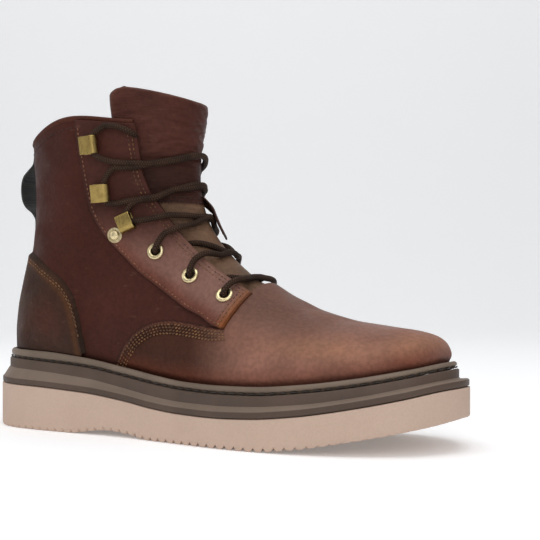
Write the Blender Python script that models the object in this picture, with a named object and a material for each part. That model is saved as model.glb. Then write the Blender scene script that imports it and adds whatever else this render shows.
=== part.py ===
"""A lace-up leather work boot for the right foot, on a one-piece wedge sole.

Lengths are in metres. In the tables, x runs from the back of the sole's heel to its toe tip, y runs across
the boot with its outer side at -y, and z is the height above the floor. The finished objects are moved by
ORIGIN, so that the boot's own origin lies on the floor in the middle of the sole's outline.
"""

import math

import bmesh
import bpy
import numpy as np
from mathutils import Vector

# The sole.
SOLE_LENGTH = 0.305
TOE_SETBACK = 0.20
SEAT_GAP = 0.0003
NOTCH_COUNT = 112
NOTCH_DEPTH = 0.0019
EDGE_ROUNDING = 0.0004
TREAD_INSET = 0.0045
SOLE_HALF_COUNT = 38
RAND_HEIGHT = 0.0039
SHELF_INSET = 0.0048
WELT_GROOVE_INSET = 0.0064
WELT_INSET = 0.0057
WELT_INNER_TOP_INSET = 0.0083
WELT_INNER_MIDDLE_INSET = 0.0090
INSOLE_THICKNESS = 0.004
INSOLE_GAP = 0.0013

# The upper and the pieces sewn to it.
UPPER_WALL = 0.0022
OVERLAY_GAP = 0.00085
OVERLAY_WALL = 0.0011
TONGUE_THICKNESS = 0.0050
TONGUE_GAP = 0.0012
WEBBING_WIDTH = 0.016
WEBBING_THICKNESS = 0.0016
LACE_DIAMETER = 0.0035
LACE_SIDES = 6
STRAND_POINTS = 12
EYELET_SIDES = 12
EYELET_OUTER = 0.0050
EYELET_HOLE = 0.0024
EYELET_HEIGHT = 0.0013
HOOK_WIDTH = 0.0105
HOOK_REACH = 0.0105
HOOK_THICKNESS = 0.0010
HOOK_OPENING = 0.0042

# The sole in plan. Each row is one place along the sole: its distance from the heel's back, and how far
# the edge of the outsole lies from the centre line on the outer and on the inner side of the foot.
SOLE_OUTLINE = [
    # from_heel, outer, inner
    (0.000, 0.0000, 0.0000),
    (0.006, 0.0190, 0.0190),
    (0.022, 0.0325, 0.0325),
    (0.045, 0.0380, 0.0380),
    (0.080, 0.0400, 0.0375),
    (0.115, 0.0420, 0.0365),
    (0.150, 0.0480, 0.0410),
    (0.185, 0.0540, 0.0500),
    (0.215, 0.0555, 0.0550),
    (0.245, 0.0520, 0.0540),
    (0.272, 0.0430, 0.0470),
    (0.293, 0.0270, 0.0310),
    (0.305, -0.0020, 0.0020),
]

# The sole from the side: the height of the tread, of the joint between outsole and midsole, of the top of
# the midsole's sloping shelf, of the midsole's top and of the welt's top.
SOLE_LEVELS = [
    # from_heel, tread, joint, shelf, midsole_top, welt_top
    (0.000, 0.0020, 0.0264, 0.0362, 0.0418, 0.0474),
    (0.012, 0.0003, 0.0263, 0.0360, 0.0418, 0.0474),
    (0.020, 0.0000, 0.0262, 0.0358, 0.0417, 0.0474),
    (0.050, 0.0000, 0.0257, 0.0346, 0.0406, 0.0468),
    (0.074, 0.0000, 0.0246, 0.0328, 0.0392, 0.0449),
    (0.090, 0.0020, 0.0236, 0.0312, 0.0376, 0.0430),
    (0.103, 0.0032, 0.0222, 0.0291, 0.0356, 0.0409),
    (0.118, 0.0022, 0.0204, 0.0266, 0.0333, 0.0386),
    (0.136, 0.0000, 0.0180, 0.0241, 0.0309, 0.0360),
    (0.158, 0.0000, 0.0164, 0.0224, 0.0290, 0.0338),
    (0.180, 0.0000, 0.0160, 0.0221, 0.0284, 0.0332),
    (0.205, 0.0000, 0.0168, 0.0229, 0.0288, 0.0336),
    (0.232, 0.0026, 0.0194, 0.0252, 0.0311, 0.0357),
    (0.260, 0.0076, 0.0240, 0.0295, 0.0349, 0.0395),
    (0.284, 0.0124, 0.0290, 0.0347, 0.0396, 0.0441),
    (0.300, 0.0164, 0.0330, 0.0384, 0.0434, 0.0476),
    (0.305, 0.0184, 0.0338, 0.0392, 0.0440, 0.0480),
]

# The upper's outer face. Each row is one section of the last: it hangs from a point on the ridge, the line
# over the toe, the instep and the front of the shaft, and it ends on the feather line where the upper meets
# the sole or, behind the heel, on the back seam. The half widths are the widest on each side, widest is the
# share of the section's height where they lie, shoulder squares off the part above it, and lift raises the
# middle of the section, as the collar is higher at the ankle than behind it.
LAST_SECTIONS = [
    # ridge_x, ridge_z, foot_x, rise, outer, inner, widest, shoulder, lift
    (0.2915, 0.0434, 0.2915, 0.0000, 0.0010, 0.0010, 0.40, 2.30, 0.0000),
    (0.2922, 0.0475, 0.2904, 0.0000, 0.0080, 0.0092, 0.40, 2.30, 0.0000),
    (0.2918, 0.0522, 0.2876, 0.0000, 0.0150, 0.0164, 0.40, 2.30, 0.0000),
    (0.2893, 0.0565, 0.2830, 0.0000, 0.0222, 0.0230, 0.40, 2.30, 0.0000),
    (0.2842, 0.0597, 0.2770, 0.0000, 0.0278, 0.0290, 0.38, 2.25, 0.0000),
    (0.2760, 0.0618, 0.2690, 0.0000, 0.0330, 0.0346, 0.36, 2.20, 0.0000),
    (0.2645, 0.0633, 0.2580, 0.0000, 0.0384, 0.0402, 0.34, 2.15, 0.0000),
    (0.2500, 0.0650, 0.2430, 0.0000, 0.0420, 0.0438, 0.32, 2.10, 0.0000),
    (0.2340, 0.0676, 0.2260, 0.0000, 0.0448, 0.0458, 0.30, 2.00, 0.0000),
    (0.2175, 0.0722, 0.2070, 0.0000, 0.0460, 0.0455, 0.28, 1.90, 0.0000),
    (0.2020, 0.0790, 0.1870, 0.0000, 0.0452, 0.0422, 0.27, 1.85, 0.0000),
    (0.1870, 0.0875, 0.1660, 0.0000, 0.0425, 0.0382, 0.26, 1.80, 0.0000),
    (0.1735, 0.0970, 0.1440, 0.0000, 0.0388, 0.0338, 0.26, 1.80, 0.0000),
    (0.1620, 0.1070, 0.1210, 0.0000, 0.0358, 0.0312, 0.27, 1.80, 0.0000),
    (0.1530, 0.1172, 0.0970, 0.0000, 0.0338, 0.0306, 0.29, 1.82, 0.0000),
    (0.1470, 0.1268, 0.0730, 0.0000, 0.0330, 0.0308, 0.31, 1.86, 0.0000),
    (0.1440, 0.1350, 0.0520, 0.0000, 0.0330, 0.0320, 0.33, 1.90, 0.0000),
    (0.1425, 0.1415, 0.0350, 0.0000, 0.0330, 0.0322, 0.35, 1.94, 0.0000),
    (0.1418, 0.1465, 0.0230, 0.0000, 0.0331, 0.0324, 0.37, 1.98, 0.0000),
    (0.1415, 0.1505, 0.0150, 0.0000, 0.0333, 0.0327, 0.38, 2.00, 0.0000),
    (0.1414, 0.1530, 0.0113, 0.0000, 0.0335, 0.0330, 0.39, 2.02, 0.0000),
    (0.1413, 0.1565, 0.0106, 0.0110, 0.0338, 0.0334, 0.41, 2.05, 0.0000),
    (0.1413, 0.1600, 0.0120, 0.0250, 0.0342, 0.0339, 0.43, 2.08, 0.0000),
    (0.1414, 0.1640, 0.0160, 0.0410, 0.0348, 0.0346, 0.44, 2.10, 0.0000),
    (0.1416, 0.1680, 0.0205, 0.0570, 0.0355, 0.0354, 0.45, 2.10, 0.0000),
    (0.1418, 0.1715, 0.0235, 0.0730, 0.0363, 0.0362, 0.46, 2.10, 0.0006),
    (0.1420, 0.1745, 0.0250, 0.0890, 0.0370, 0.0370, 0.47, 2.10, 0.0018),
    (0.1424, 0.1772, 0.0250, 0.1050, 0.0378, 0.0378, 0.47, 2.10, 0.0038),
    (0.1428, 0.1796, 0.0242, 0.1180, 0.0385, 0.0385, 0.47, 2.10, 0.0060),
    (0.1432, 0.1820, 0.0235, 0.1305, 0.0390, 0.0390, 0.47, 2.10, 0.0082),
    (0.1440, 0.1890, 0.0230, 0.1405, 0.0394, 0.0394, 0.47, 2.10, 0.0082),
    (0.1447, 0.1965, 0.0230, 0.1505, 0.0397, 0.0397, 0.47, 2.10, 0.0082),
]
# How far the throat reaches to each side, at a section counted in rows of LAST_SECTIONS.
THROAT = [
    # row, half_width
    (10.9, 0.0200),
    (12.0, 0.0190),
    (14.0, 0.0183),
    (17.0, 0.0202),
    (20.4, 0.0230),
    (22.0, 0.0252),
    (24.2, 0.0287),
    (26.2, 0.0309),
    (29.0, 0.0334),
]
# The tongue's half width as a share of each section's girth.
TONGUE_WIDTH = [
    # row, share
    (10.0, 0.22),
    (12.0, 0.30),
    (17.0, 0.30),
    (24.0, 0.36),
    (29.0, 0.39),
    (30.3, 0.40),
    (30.8, 0.375),
    (31.0, 0.34),
]
# The lower edge of the facings and the upper edge of the heel counter, seen from the side.
FACING_LINE = [
    # from_heel, height
    (0.0780, 0.2000),
    (0.0800, 0.1718),
    (0.0818, 0.1605),
    (0.0840, 0.1453),
    (0.0860, 0.1329),
    (0.0898, 0.1230),
    (0.0969, 0.1126),
    (0.1075, 0.1027),
    (0.1176, 0.0940),
    (0.1283, 0.0872),
    (0.1394, 0.0805),
    (0.1514, 0.0736),
    (0.1630, 0.0689),
    (0.1711, 0.0647),
    (0.1800, 0.0620),
]
COUNTER_LINE = [
    # from_heel, height
    (0.0150, 0.1066),
    (0.0280, 0.1058),
    (0.0400, 0.1030),
    (0.0508, 0.0971),
    (0.0601, 0.0913),
    (0.0685, 0.0827),
    (0.0741, 0.0715),
    (0.0774, 0.0571),
    (0.0792, 0.0441),
]
THROAT_ROW = 11
HEEL_ROW = 20
COLLAR_ROW = 29
RIDGE_TO_INNER_SIDE = 0.0020
UPPER_FRONT_ROWS = [0, 0.5, 1, 1.6, 2.3, 3.1, 4, 5, 6.2, 7.5, 8.8, 10]
VAMP_COLUMNS = 3
SIDE_COLUMNS = 9
TONGUE_FRONT_ROW = 10
TONGUE_TOP_ROW = 31
TONGUE_COLUMNS = 8
COUNTER_ROWS = [15, 16, 17, 18, 19, 20, 20.25, 20.5, 20.75, 21, 22, 22.5, 23, 23.5, 24]
COUNTER_COLUMNS = 9
FACING_FRONT_ROW = 10.9
FACING_COLUMNS = 5

# The loop at the back, from the side, sewn to the back seam at its two ends.
PULL_LOOP = [
    # from_heel, height
    (0.0232, 0.1200),
    (0.0233, 0.1270),
    (0.0205, 0.1320),
    (0.0150, 0.1360),
    (0.0121, 0.1415),
    (0.0115, 0.1480),
    (0.0130, 0.1545),
    (0.0175, 0.1590),
    (0.0215, 0.1630),
    (0.0224, 0.1700),
]

# Where the eyelets and hooks sit: on which section, and at which share of its girth from the ridge.
EYELETS = [(11.6, 0.35), (13.2, 0.33), (15.2, 0.32)]
# Each hook also has a turn, which tips it forwards from square to its section, and stands on a washer of
# the given height where the leather bends under it.
HOOKS = [
    # row, share, turn, seat
    (19.2, 0.295, 40, 0.0010),
    (23.9, 0.40, 14, 0.0004),
    (27.2, 0.45, 4, 0.0003),
]

# The lace's strands over the tongue: section, signed share of its girth (negative on the outer side) and
# height above the upper's outer face. Each strand starts at one side and ends at the other, and its twin
# runs the other way.
STRANDS = [
    [
        (11.65, -0.345, 0.0058),
        (11.6, -0.27, 0.0056),
        (11.5, -0.18, 0.0030),
        (11.55, -0.08, 0.0004),
        (11.55, 0.04, -0.0002),
        (11.7, 0.13, -0.0004),
        (12.1, 0.18, -0.0004),
    ],
    [
        (13.3, -0.325, 0.0058),
        (13.4, -0.25, 0.0054),
        (13.35, -0.20, 0.0052),
        (13.2, -0.14, 0.0012),
        (13.0, -0.09, -0.0003),
        (13.0, 0.02, -0.0004),
        (13.6, 0.10, -0.0004),
        (14.1, 0.145, -0.0004),
    ],
    [
        (15.3, -0.315, 0.0058),
        (15.5, -0.24, 0.0055),
        (15.3, -0.19, 0.0053),
        (15.1, -0.13, 0.0012),
        (15.0, -0.08, -0.0003),
        (15.2, 0.05, -0.0003),
        (15.9, 0.13, 0.0018),
        (16.5, 0.18, 0.0052),
        (17.4, 0.24, 0.0056),
    ],
    [
        (21.4, -0.26, 0.0056),
        (21.0, -0.225, 0.0050),
        (20.0, -0.17, 0.0028),
        (18.6, -0.09, -0.0005),
        (17.8, 0.04, -0.0003),
        (19.4, 0.13, 0.0014),
        (20.8, 0.205, 0.0057),
        (21.8, 0.27, 0.0056),
        (22.3, 0.32, 0.0056),
    ],
    [
        (25.2, -0.355, 0.0056),
        (24.9, -0.32, 0.0056),
        (24.5, -0.27, 0.0048),
        (24.0, -0.20, 0.0010),
        (23.0, -0.07, 0.0006),
        (22.8, 0.05, 0.0006),
        (23.8, 0.19, 0.0008),
        (24.8, 0.27, 0.0048),
        (25.4, 0.33, 0.0056),
        (25.9, 0.38, 0.0056),
    ],
]
# The lace's free end at the top hook, which turns over and goes down behind the facing's edge.
LACE_END = [
    (28.3, 0.405, 0.0046),
    (28.5, 0.385, 0.0046),
    (28.55, 0.355, 0.0047),
    (28.4, 0.325, 0.0058),
    (28.0, 0.292, 0.0053),
    (27.4, 0.268, 0.0020),
    (26.6, 0.250, -0.0003),
]

FEATHER_INSET = 0.0113
FEATHER_LIFT = 0.0003


def flow(knots, values):
    """A smooth function through a column of a table, which never overshoots between two rows."""
    knots = np.asarray(knots, float)
    values = np.asarray(values, float)
    steps = np.diff(knots)
    slopes = np.diff(values) / steps
    tangents = np.zeros(len(knots))
    tangents[0], tangents[-1] = slopes[0], slopes[-1]
    for i in range(1, len(knots) - 1):
        if slopes[i - 1] * slopes[i] > 0:
            before = 2 * steps[i] + steps[i - 1]
            after = steps[i] + 2 * steps[i - 1]
            tangents[i] = (before + after) / (before / slopes[i - 1] + after / slopes[i])

    def at(x):
        x = np.clip(x, knots[0], knots[-1])
        i = np.clip(np.searchsorted(knots, x, side="right") - 1, 0, len(steps) - 1)
        share = (x - knots[i]) / steps[i]
        rest = 1 - share
        return (
            values[i] * rest * rest * (1 + 2 * share)
            + values[i + 1] * share * share * (3 - 2 * share)
            + tangents[i] * steps[i] * share * rest * rest
            - tangents[i + 1] * steps[i] * share * share * rest
        )

    return at


def columns(table):
    """The columns of a table, each as a smooth function of the first one."""
    first, *others = zip(*table)
    return [flow(first, column) for column in others]


tread_height, joint_height, shelf_height, midsole_top, welt_top = columns(SOLE_LEVELS)


def closed_curve(points, between):
    """A smooth closed curve through the points, with a few more points between each two.

    This is the centripetal form of the Catmull-Rom curve, which neither loops nor overshoots.
    """
    points = np.asarray(points, float)
    made = []
    for i in range(len(points)):
        a, b, c, d = (points[(i + k) % len(points)] for k in (-1, 0, 1, 2))
        tb = math.sqrt(np.linalg.norm(b - a))
        tc = tb + math.sqrt(np.linalg.norm(c - b))
        td = tc + math.sqrt(np.linalg.norm(d - c))
        for t in np.linspace(tb, tc, between, endpoint=False):
            ab = a + (b - a) * t / tb
            bc = b + (c - b) * (t - tb) / (tc - tb)
            cd = c + (d - c) * (t - tc) / (td - tc)
            abc = ab + (bc - ab) * t / tc
            bcd = bc + (cd - bc) * (t - tb) / (td - tb)
            made.append(abc + (bcd - abc) * (t - tb) / (tc - tb))
    return np.array(made)


OUTER_EDGE = [(x, -outer) for x, outer, inner in SOLE_OUTLINE]
INNER_EDGE = [(x, inner) for x, outer, inner in SOLE_OUTLINE[1:-1]]
EDGE_CURVE = closed_curve(OUTER_EDGE + INNER_EDGE[::-1], between=24)
TOE_INDEX = (len(SOLE_OUTLINE) - 1) * 24


def toe_setback(x):
    """How much further than elsewhere the sole's steps stand back, which grows round the toe."""
    return 1 + TOE_SETBACK * np.clip((x - 0.235) / 0.060, 0, 1)


def edge_halves(inset):
    """The sole's edge, moved inwards: its outer and its inner half, each from the heel to the toe tip."""
    ahead = np.roll(EDGE_CURVE, -1, axis=0) - np.roll(EDGE_CURVE, 1, axis=0)
    inwards = np.stack([-ahead[:, 1], ahead[:, 0]], axis=1)
    inwards /= np.linalg.norm(inwards, axis=1)[:, None]
    moved = EDGE_CURVE + inwards * (inset * toe_setback(EDGE_CURVE[:, 0]))[:, None]
    outer = moved[: TOE_INDEX + 1]
    inner = np.concatenate([moved[TOE_INDEX:], moved[:1]])[::-1]
    return outer, inner


def spaced(line, count):
    """count + 1 points, evenly spaced along a line."""
    gone = np.concatenate([[0], np.cumsum(np.linalg.norm(np.diff(line, axis=0), axis=1))])
    at = np.linspace(0, 1, count + 1) * gone[-1]
    return np.stack([np.interp(at, gone, line[:, k]) for k in range(line.shape[1])], axis=1)


def half_width_at(inset):
    """Functions that give the sole's half width, outer and inner, at a distance from the heel's back."""
    outer, inner = edge_halves(inset)

    def reader(line):
        order = np.maximum.accumulate(line[:, 0])
        return lambda x: np.interp(x, order, np.abs(line[:, 1]))

    return reader(outer), reader(inner)


FEATHER_OUTER, FEATHER_INNER = half_width_at(FEATHER_INSET)
FEATHER_TOE = float(edge_halves(FEATHER_INSET)[0][-1, 0])
FEATHER_HEEL = float(edge_halves(FEATHER_INSET)[0][0, 0])

RIDGE_X, RIDGE_Z, FOOT_X, RISE, OUTER, INNER, WIDEST, SHOULDER, LIFT = [
    flow(range(len(LAST_SECTIONS)), column) for column in zip(*LAST_SECTIONS)
]


def section(row, side, samples=160):
    """One half of a section as a line from the ridge down to the feather line or the back seam.

    row counts the rows of LAST_SECTIONS and may lie between two, and side is -1 on the outer side of the
    foot and 1 on the inner side.
    """
    foot_x = float(np.clip(FOOT_X(row), FEATHER_HEEL, FEATHER_TOE)) if row <= HEEL_ROW else float(FOOT_X(row))
    foot_z = float(midsole_top(foot_x)) + FEATHER_LIFT + float(RISE(row))
    widest = float(OUTER(row) if side < 0 else INNER(row))
    feather = FEATHER_OUTER if side < 0 else FEATHER_INNER
    foot_half = float(feather(foot_x)) if row < HEEL_ROW else 0.0
    widest = max(widest, foot_half + 0.0006)
    level = float(WIDEST(row))
    reach = level / math.sqrt(1 - (foot_half / widest) ** 2)
    turn = np.linspace(0, math.pi / 2, samples // 2)
    above = level + (1 - level) * np.cos(turn)
    below = level * (1 - np.sin(turn[1:]))
    height = np.concatenate([above, below])
    over = np.clip((above - level) / (1 - level), 0, 1) ** float(SHOULDER(row))
    under = np.clip((level - below) / reach, 0, 1) ** 2
    half = widest * np.sqrt(np.clip(1 - np.concatenate([over, under]), 0, 1))
    x = foot_x + (float(RIDGE_X(row)) - foot_x) * height
    z = foot_z + (float(RIDGE_Z(row)) - foot_z) * height
    z = z + float(LIFT(row)) * np.sin(math.pi * height**0.75) ** 3
    y = RIDGE_TO_INNER_SIDE * height + side * half
    if row <= 0:
        y = np.full_like(y, float(edge_halves(FEATHER_INSET)[0][-1, 1]))
    return np.stack([x, y, z], axis=1)


def on_last(row, side, share):
    """The point of the upper's outer face at a share of the way from the ridge down one half of a section."""
    line = section(row, side)
    gone = np.concatenate([[0], np.cumsum(np.linalg.norm(np.diff(line, axis=0), axis=1))])
    return np.array([np.interp(share * gone[-1], gone, line[:, k]) for k in range(3)])


def side_grid(rows, shares):
    """Points of the upper's outer face on both sides: a row of the grid for each section.

    shares gives, for each row, a list of shares on the outer side and one on the inner side, both from the
    top down. The grid runs down the outer side and up the inner one.
    """
    grid = []
    for row, (outer, inner) in zip(rows, shares):
        down = [on_last(row, -1, share) for share in outer]
        up = [on_last(row, 1, share) for share in inner[::-1]]
        grid.append(down + up)
    return np.array(grid)


def share_at_height(row, side, height):
    """The share of a section's girth at which it crosses a height, given as a function of from_heel."""
    line = section(row, side)
    gone = np.concatenate([[0], np.cumsum(np.linalg.norm(np.diff(line, axis=0), axis=1))])
    above = line[:, 2] - np.array([height(x) for x in line[:, 0]])
    below = np.nonzero(above <= 0)[0]
    if len(below) == 0:
        return 1.0
    if below[0] == 0:
        return 0.0
    before, after = below[0] - 1, below[0]
    part = above[before] / (above[before] - above[after])
    return float((gone[before] + part * (gone[after] - gone[before])) / gone[-1])


def share_at_half(row, side, half):
    """The share of a section's girth at which its upper part reaches a half width."""
    line = section(row, side)
    gone = np.concatenate([[0], np.cumsum(np.linalg.norm(np.diff(line, axis=0), axis=1))])
    reached = np.abs(line[:, 1] - line[0, 1])
    widest = int(np.argmax(reached))
    return float(np.interp(half, reached[: widest + 1], gone[: widest + 1]) / gone[-1])


def spline(rows):
    """A smooth open line through rows of numbers, read at a share from 0 to 1 of the way along it."""
    rows = np.asarray(rows, float)
    steps = np.concatenate([[0], np.cumsum(np.full(len(rows) - 1, 1.0))])
    reads = [flow(steps, rows[:, k]) for k in range(rows.shape[1])]
    return lambda share: np.array([float(read(share * steps[-1])) for read in reads])


def above_last(row, share, lift):
    """A point at a height above the upper's outer face, at a signed share: negative on the outer side."""
    small_row, small_share = 0.05, 0.004

    def at(r, s):
        return on_last(r, -1 if s < 0 else 1, abs(s))

    along = at(row + small_row, share) - at(row - small_row, share)
    across = at(row, share + small_share) - at(row, share - small_share)
    outwards = np.cross(across, along)
    return at(row, share) + outwards / np.linalg.norm(outwards) * lift


# Objects and materials

ORIGIN = np.array([
    SOLE_LENGTH / 2,
    (EDGE_CURVE[:, 1].min() + EDGE_CURVE[:, 1].max()) / 2,
    0.0,
])


def new_material(name, colour, roughness, metallic=0.0):
    material = bpy.data.materials.new(name)
    material.use_nodes = True
    shader = material.node_tree.nodes["Principled BSDF"]
    shader.inputs["Base Color"].default_value = (*colour, 1)
    shader.inputs["Roughness"].default_value = roughness
    shader.inputs["Metallic"].default_value = metallic
    return material


def add_piece(name, vertices, faces, material, outwards=False):
    """A named object from vertices and faces. outwards says that the faces already turn the right way."""
    mesh = bpy.data.meshes.new(name)
    shape = bmesh.new()
    points = [shape.verts.new(Vector(np.asarray(v, float) - ORIGIN)) for v in vertices]
    for face in faces:
        shape.faces.new([points[i] for i in face])
    bmesh.ops.remove_doubles(shape, verts=shape.verts, dist=0.00001)
    bmesh.ops.delete(shape, geom=[v for v in shape.verts if not v.link_faces], context="VERTS")
    if not outwards:
        bmesh.ops.recalc_face_normals(shape, faces=shape.faces)
    shape.to_mesh(mesh)
    shape.free()
    mesh.shade_smooth()
    mesh.set_sharp_from_angle(angle=math.radians(40))
    mesh.materials.append(material)
    piece = bpy.data.objects.new(name, mesh)
    bpy.context.scene.collection.objects.link(piece)
    return piece


def give_wall(piece, nearest, thickness):
    """Turns a surface into a wall that starts at a distance from it, outwards if that is positive."""
    wall = piece.modifiers.new("Wall", "SOLIDIFY")
    wall.thickness = thickness
    wall.offset = 1 + 2 * nearest / thickness
    wall.use_quality_normals = True


def surface_faces(rows, columns, open_after=None):
    """The faces of a grid, row by row, without those between one column and the next where it is open."""
    return [
        (i * columns + j, (i + 1) * columns + j, (i + 1) * columns + j + 1, i * columns + j + 1)
        for i in range(rows - 1)
        for j in range(columns - 1)
        if j != open_after
    ]


# The sole: outsole, midsole, welt and insole


def sole_loop(inset, height, half_count, lift=0.0):
    """One closed loop round the sole, at an inset from its edge. lift is added to all its heights."""
    outer, inner = edge_halves(inset)
    plan = np.concatenate([
        spaced(outer, half_count),
        spaced(inner, half_count)[-2:0:-1],
    ])
    return np.column_stack([plan, height(plan[:, 0]) + lift])


def add_layer(name, loops, material):
    """A solid from loops stacked upwards, closed below the first loop and above the last."""
    count = len(loops[0])
    faces = []
    for k in range(len(loops) - 1):
        for i in range(count):
            j = (i + 1) % count
            faces.append((k * count + i, k * count + j, (k + 1) * count + j, (k + 1) * count + i))
    for first, turn in ((0, -1), ((len(loops) - 1) * count, 1)):
        for i in range(count // 2):
            strip = dict.fromkeys([i, i + 1, (count - i - 1) % count, (count - i) % count])
            faces.append([first + k for k in strip][::turn])
    return add_piece(name, np.concatenate(loops), faces, material)


def add_rim(name, loops, material):
    """A closed ring from loops that go round its cross-section."""
    count = len(loops[0])
    faces = []
    for k in range(len(loops)):
        for i in range(count):
            j, after = (i + 1) % count, (k + 1) % len(loops) * count
            faces.append((k * count + i, k * count + j, after + j, after + i))
    return add_piece(name, np.concatenate(loops), faces, material)


def make_sole():
    notches = 2 * NOTCH_COUNT
    depth = np.array([NOTCH_DEPTH * (k % 2) for k in range(notches)])
    edge = sole_loop(0, tread_height, NOTCH_COUNT, EDGE_ROUNDING + depth)
    add_layer("outsole", [
        sole_loop(TREAD_INSET, tread_height, NOTCH_COUNT),
        edge,
        sole_loop(0, joint_height, NOTCH_COUNT),
    ], outsole_rubber)
    add_layer("midsole", [
        sole_loop(SEAT_GAP, joint_height, SOLE_HALF_COUNT, SEAT_GAP),
        sole_loop(SEAT_GAP, joint_height, SOLE_HALF_COUNT, RAND_HEIGHT),
        sole_loop(SHELF_INSET, shelf_height, SOLE_HALF_COUNT),
        sole_loop(SHELF_INSET, midsole_top, SOLE_HALF_COUNT),
    ], midsole_rubber)
    add_rim("welt", [
        sole_loop(WELT_GROOVE_INSET, midsole_top, SOLE_HALF_COUNT, SEAT_GAP),
        sole_loop(WELT_INSET, midsole_top, SOLE_HALF_COUNT, 0.0016),
        sole_loop(WELT_INSET, welt_top, SOLE_HALF_COUNT, -0.0014),
        sole_loop(WELT_INSET + 0.0012, welt_top, SOLE_HALF_COUNT),
        sole_loop(WELT_INNER_TOP_INSET, welt_top, SOLE_HALF_COUNT, -0.0002),
        sole_loop(WELT_INNER_MIDDLE_INSET, midsole_top, SOLE_HALF_COUNT, 0.0018),
        sole_loop(FEATHER_INSET - SEAT_GAP, midsole_top, SOLE_HALF_COUNT, SEAT_GAP),
    ], welt_rubber)
    inset = FEATHER_INSET + UPPER_WALL + INSOLE_GAP
    add_layer("insole", [
        sole_loop(inset, midsole_top, SOLE_HALF_COUNT // 2, SEAT_GAP),
        sole_loop(inset, midsole_top, SOLE_HALF_COUNT // 2, SEAT_GAP + INSOLE_THICKNESS),
    ], lining_textile)


# The upper, its tongue and the pieces that are sewn over it


def make_upper():
    """The vamp closes over the toe up to THROAT_ROW, and behind it the two quarters stand apart."""
    rows = [*UPPER_FRONT_ROWS, *range(THROAT_ROW, COLLAR_ROW + 1)]
    shares = []
    for row in rows:
        open_row = max(row, THROAT_ROW)
        edges = [share_at_half(open_row, side, float(throat_half(open_row))) for side in (-1, 1)]
        shares.append([
            [*np.linspace(0, edge, VAMP_COLUMNS + 1)[:-1], *np.linspace(edge, 1, SIDE_COLUMNS + 1)]
            for edge in edges
        ])
    grid = side_grid(rows, shares)
    columns = grid.shape[1]
    front = len(UPPER_FRONT_ROWS)
    faces = [
        face
        for face in surface_faces(len(rows), columns, open_after=columns // 2 - 1)
        if face[0] // columns < front or VAMP_COLUMNS <= face[0] % columns < columns - 1 - VAMP_COLUMNS
    ]
    upper = add_piece("upper", grid.reshape(-1, 3), faces, quarter_leather, outwards=True)
    give_wall(upper, -UPPER_WALL, UPPER_WALL)


def make_tongue():
    rows = [*range(TONGUE_FRONT_ROW, TONGUE_TOP_ROW)]
    rows += [TONGUE_TOP_ROW - 0.5, TONGUE_TOP_ROW - 0.2, TONGUE_TOP_ROW]
    grid = []
    for row in rows:
        half = float(tongue_share(row))
        shares = np.linspace(-half, half, TONGUE_COLUMNS + 1)
        grid += [on_last(row, -1 if share < 0 else 1, abs(share)) for share in shares]
    faces = [face[::-1] for face in surface_faces(len(rows), TONGUE_COLUMNS + 1)]
    tongue = add_piece("tongue", grid, faces, tongue_leather, outwards=True)
    give_wall(tongue, -(UPPER_WALL + TONGUE_GAP + TONGUE_THICKNESS), TONGUE_THICKNESS)


def make_counter():
    shares = [
        [
            np.linspace(
                share_at_height(row, side, counter_line),
                share_at_height(row, side, lambda x: welt_top(x) + OVERLAY_GAP),
                COUNTER_COLUMNS + 1,
            )
            for side in (-1, 1)
        ]
        for row in COUNTER_ROWS
    ]
    grid = side_grid(COUNTER_ROWS, shares)
    faces = surface_faces(len(COUNTER_ROWS), grid.shape[1], open_after=COUNTER_COLUMNS)
    counter = add_piece("heel_counter", grid.reshape(-1, 3), faces, counter_leather, outwards=True)
    give_wall(counter, OVERLAY_GAP, OVERLAY_WALL)


def make_facings():
    rows = [FACING_FRONT_ROW, *range(THROAT_ROW, COLLAR_ROW), COLLAR_ROW - 0.15]
    for name, side in (("facing_outer", -1), ("facing_inner", 1)):
        grid = []
        for row in rows:
            start = share_at_half(row, side, float(throat_half(row)))
            end = share_at_height(row, side, facing_line)
            grid += [on_last(row, side, share) for share in np.linspace(start, end, FACING_COLUMNS + 1)]
        faces = surface_faces(len(rows), FACING_COLUMNS + 1)
        if side > 0:
            faces = [face[::-1] for face in faces]
        facing = add_piece(name, grid, faces, facing_leather, outwards=True)
        give_wall(facing, OVERLAY_GAP, OVERLAY_WALL)


def make_pull_loop():
    """A webbing loop, sewn to the back seam at both ends."""
    path = np.array(PULL_LOOP)
    ahead = np.gradient(path, axis=0)
    across = np.stack([ahead[:, 1], -ahead[:, 0]], axis=1)
    across /= np.linalg.norm(across, axis=1)[:, None]
    faces = []
    vertices = []
    for centre, out in zip(path, across):
        for edge, face in ((-1, -1), (1, -1), (1, 1), (-1, 1)):
            x, z = centre + out * face * WEBBING_THICKNESS / 2
            vertices.append((x, edge * WEBBING_WIDTH / 2, z))
    for i in range(len(path) - 1):
        for j in range(4):
            k = (j + 1) % 4
            faces.append((4 * i + j, 4 * i + k, 4 * i + 4 + k, 4 * i + 4 + j))
    last = 4 * (len(path) - 1)
    faces += [(3, 2, 1, 0), (last, last + 1, last + 2, last + 3)]
    add_piece("pull_loop", vertices, faces, webbing)


def local_frame(row, share, turn=0.0):
    """A point of the upper's face and three directions: towards the collar, across the boot and outwards."""
    centre = above_last(row, share, 0.0)
    along = above_last(row + 0.05, share, 0.0) - above_last(row - 0.05, share, 0.0)
    outwards = above_last(row, share, 0.001) - centre
    outwards /= np.linalg.norm(outwards)
    along -= outwards * np.dot(along, outwards)
    along /= np.linalg.norm(along)
    across = np.cross(outwards, along)
    angle = math.radians(turn)
    return (
        centre,
        along * math.cos(angle) + across * math.sin(angle),
        across * math.cos(angle) - along * math.sin(angle),
        outwards,
    )


FACING_TOP = OVERLAY_GAP + OVERLAY_WALL + SEAT_GAP


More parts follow.
